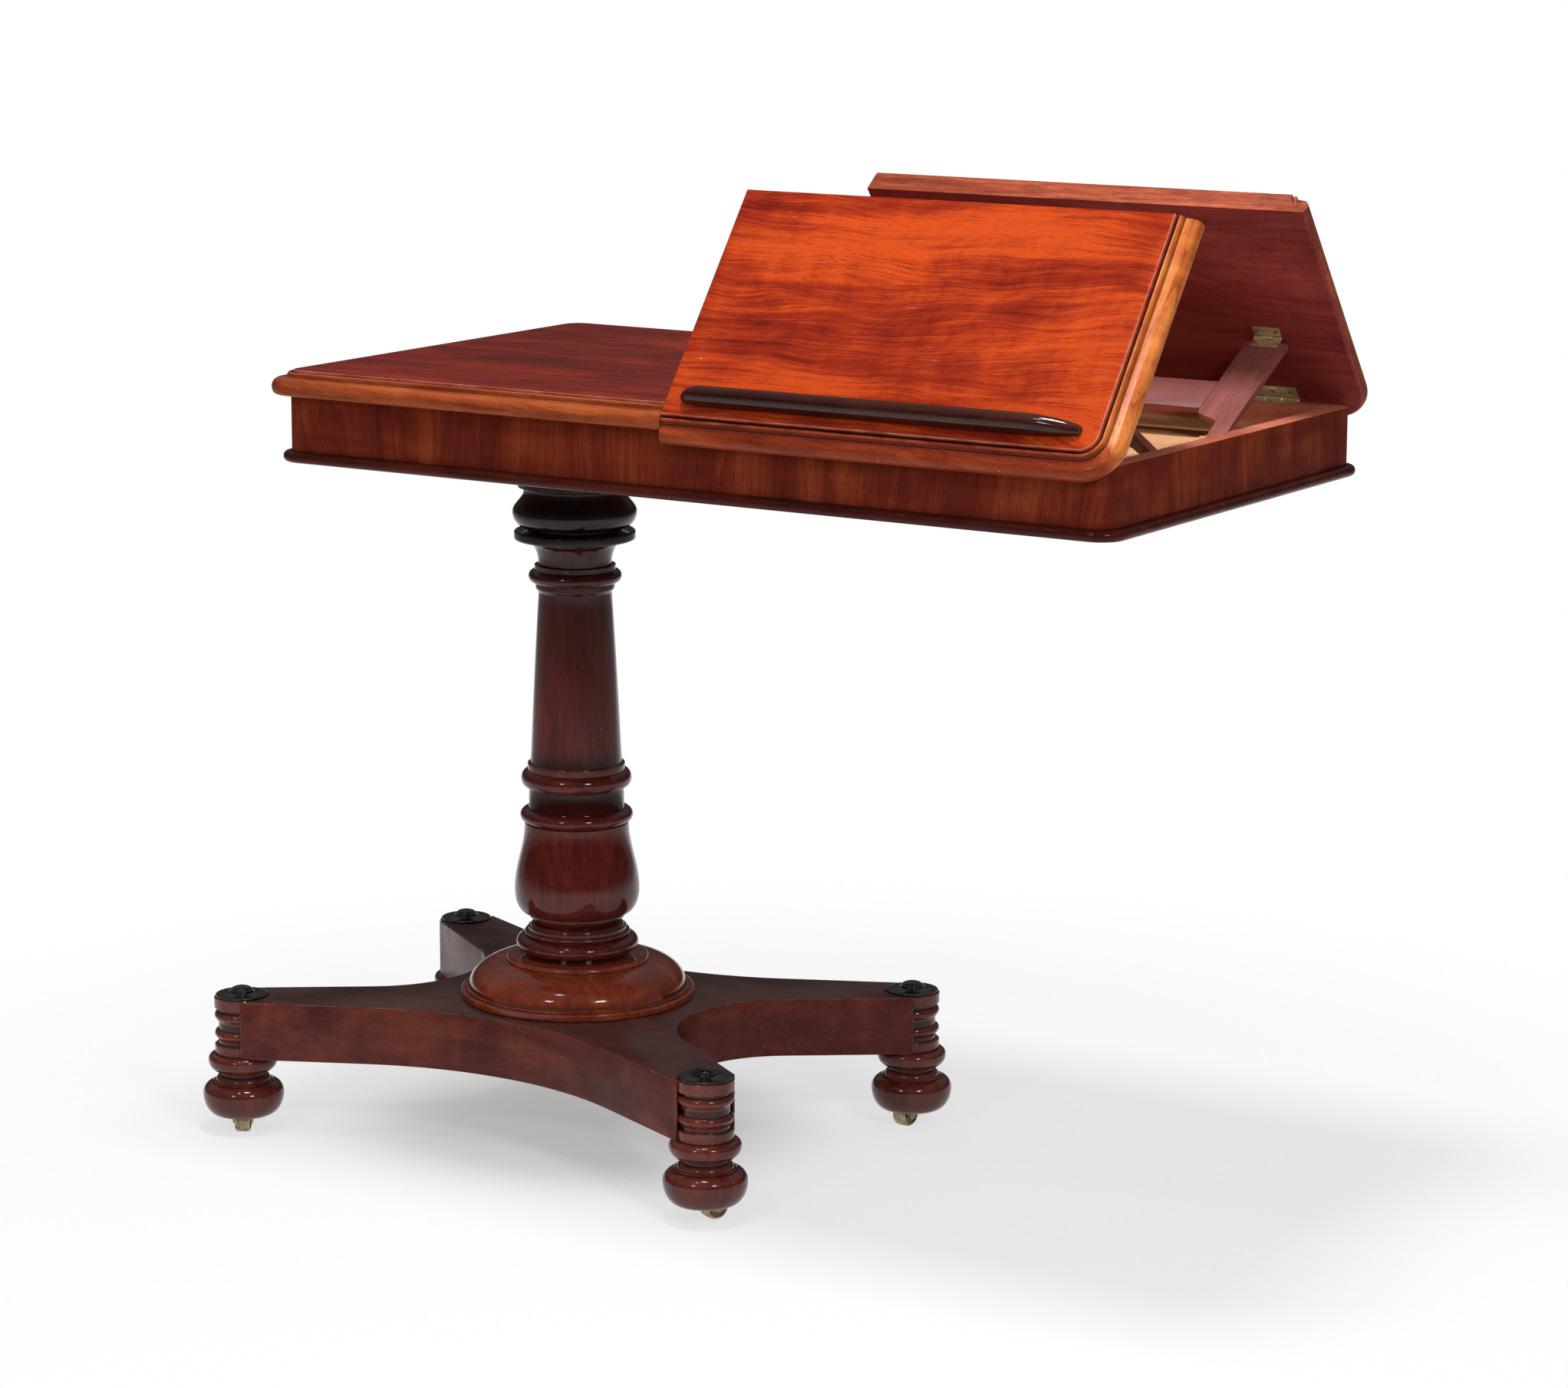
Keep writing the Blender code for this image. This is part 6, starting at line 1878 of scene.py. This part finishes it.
def build_camera():
    data = bpy.data.cameras.new("camera")
    data.sensor_fit = "HORIZONTAL"
    data.sensor_width = 36.0
    data.lens = CAMERA_LENS
    data.clip_end = 200.0
    sin_a, cos_a = math.sin(CAMERA_AZIMUTH), math.cos(CAMERA_AZIMUTH)
    sin_p, cos_p = math.sin(CAMERA_PITCH), math.cos(CAMERA_PITCH)
    forward = Vector((-sin_a * cos_p, cos_a * cos_p, -sin_p))
    right = Vector((cos_a, sin_a, 0))
    up = right.cross(forward)
    level_right = right * math.cos(CAMERA_ROLL) + up * math.sin(CAMERA_ROLL)
    level_up = up * math.cos(CAMERA_ROLL) - right * math.sin(CAMERA_ROLL)
    columns = Matrix((level_right, level_up, -forward)).transposed()
    camera = bpy.data.objects.new("camera", data)
    camera.matrix_world = Matrix.Translation(CAMERA_PLACE) @ columns.to_4x4()
    bpy.context.scene.collection.objects.link(camera)
    bpy.context.scene.camera = camera


def seen_or_mirrored(hand, place):
    """One for rays from the camera and for rays that a gloss or a glass sends on, or else zero.

    Gloss sees the white paper only as far as it runs in front of the table and to its sides.
    """
    path = hand.add("ShaderNodeLightPath")
    sent_on = hand.larger(path.outputs["Is Glossy Ray"], path.outputs["Is Transmission Ray"])
    front = (math.sin(CAMERA_AZIMUTH), -math.cos(CAMERA_AZIMUTH), 0)
    side = (math.cos(CAMERA_AZIMUTH), math.sin(CAMERA_AZIMUTH), 0)
    forwards = hand.vectors("DOT_PRODUCT", place, front)
    sideways = hand.maths("ABSOLUTE", hand.vectors("DOT_PRODUCT", place, side))
    paper = hand.spread(hand.larger(forwards, sideways), *PAPER_REACH, 1.0, 0.0)
    return hand.larger(path.outputs["Is Camera Ray"], hand.times(sent_on, paper))


def build_floor():
    """A plain pale floor that keeps the shadow and runs out to white."""
    material, hand, shader = new_material("floor_paper")
    shader.inputs["Base Color"].default_value = (0.95, 0.95, 0.95, 1.0)
    shader.inputs["Roughness"].default_value = 1.0
    shader.inputs["Specular IOR Level"].default_value = 0.0
    glow = hand.add("ShaderNodeEmission", Color=(1.0, 1.0, 1.0, 1.0), Strength=1.0)
    place = hand.add("ShaderNodeTexCoord").outputs["Object"]
    foot = hand.vectors("SUBTRACT", place, (COLUMN_X, 0, 0))
    near = hand.spread(hand.vectors("LENGTH", foot, (0, 0, 0)), *FLOOR_SHADE, *FLOOR_SHARES, "SMOOTHSTEP")
    far = hand.spread(hand.vectors("LENGTH", place, (0, 0, 0)), *FLOOR_FADE, near, 1.0, "SMOOTHSTEP")
    mix = hand.add("ShaderNodeMixShader")
    hand.feed(mix.inputs[0], hand.times(seen_or_mirrored(hand, place), far))
    hand.feed(mix.inputs[1], shader.outputs[0])
    hand.feed(mix.inputs[2], glow.outputs[0])
    output = next(node for node in hand.tree.nodes if node.type == "OUTPUT_MATERIAL")
    hand.feed(output.inputs["Surface"], mix.outputs[0])
    mesh = bpy.data.meshes.new("floor")
    reach = FLOOR_REACH
    corners = [(-reach, -reach, 0), (reach, -reach, 0), (reach, reach, 0), (-reach, reach, 0)]
    mesh.from_pydata(corners, [], [(0, 1, 2, 3)])
    mesh.materials.append(material)
    floor = bpy.data.objects.new("floor", mesh)
    bpy.context.scene.collection.objects.link(floor)


def build_world():
    """A plain grey room, lighter overhead."""
    world = bpy.data.worlds.new("studio")
    bpy.context.scene.world = world
    world.use_nodes = True
    hand = Tree(world.node_tree)
    background = world.node_tree.nodes["Background"]
    background.inputs["Color"].default_value = (1.0, 1.0, 1.0, 1.0)
    direction = hand.add("ShaderNodeTexCoord").outputs["Generated"]
    height = hand.parts(direction)["Z"]
    room = hand.spread(height, *ROOM_RISE, *ROOM_LIGHT, "SMOOTHSTEP")
    hand.feed(background.inputs["Strength"], room)


def softbox(name, place, target, size, watts):
    data = bpy.data.lights.new(name, "AREA")
    data.shape = "RECTANGLE"
    data.size, data.size_y = size
    data.energy = watts
    lamp = bpy.data.objects.new(name, data)
    aim = (Vector(target) - Vector(place)).to_track_quat("-Z", "Y")
    lamp.matrix_world = Matrix.Translation(place) @ aim.to_matrix().to_4x4()
    bpy.context.scene.collection.objects.link(lamp)


def build_lights():
    softbox("overhead", *OVERHEAD_BOX)
    for name, turn, reach, height, watts, size in FRONT_BOXES:
        angle = CAMERA_AZIMUTH + math.radians(turn)
        place = (COLUMN_X + reach * math.sin(angle), -reach * math.cos(angle), height)
        softbox(name, place, BOX_TARGET, size, watts)


build_camera()
build_floor()
build_world()
build_lights()

bpy.context.scene.view_settings.view_transform = "Standard"
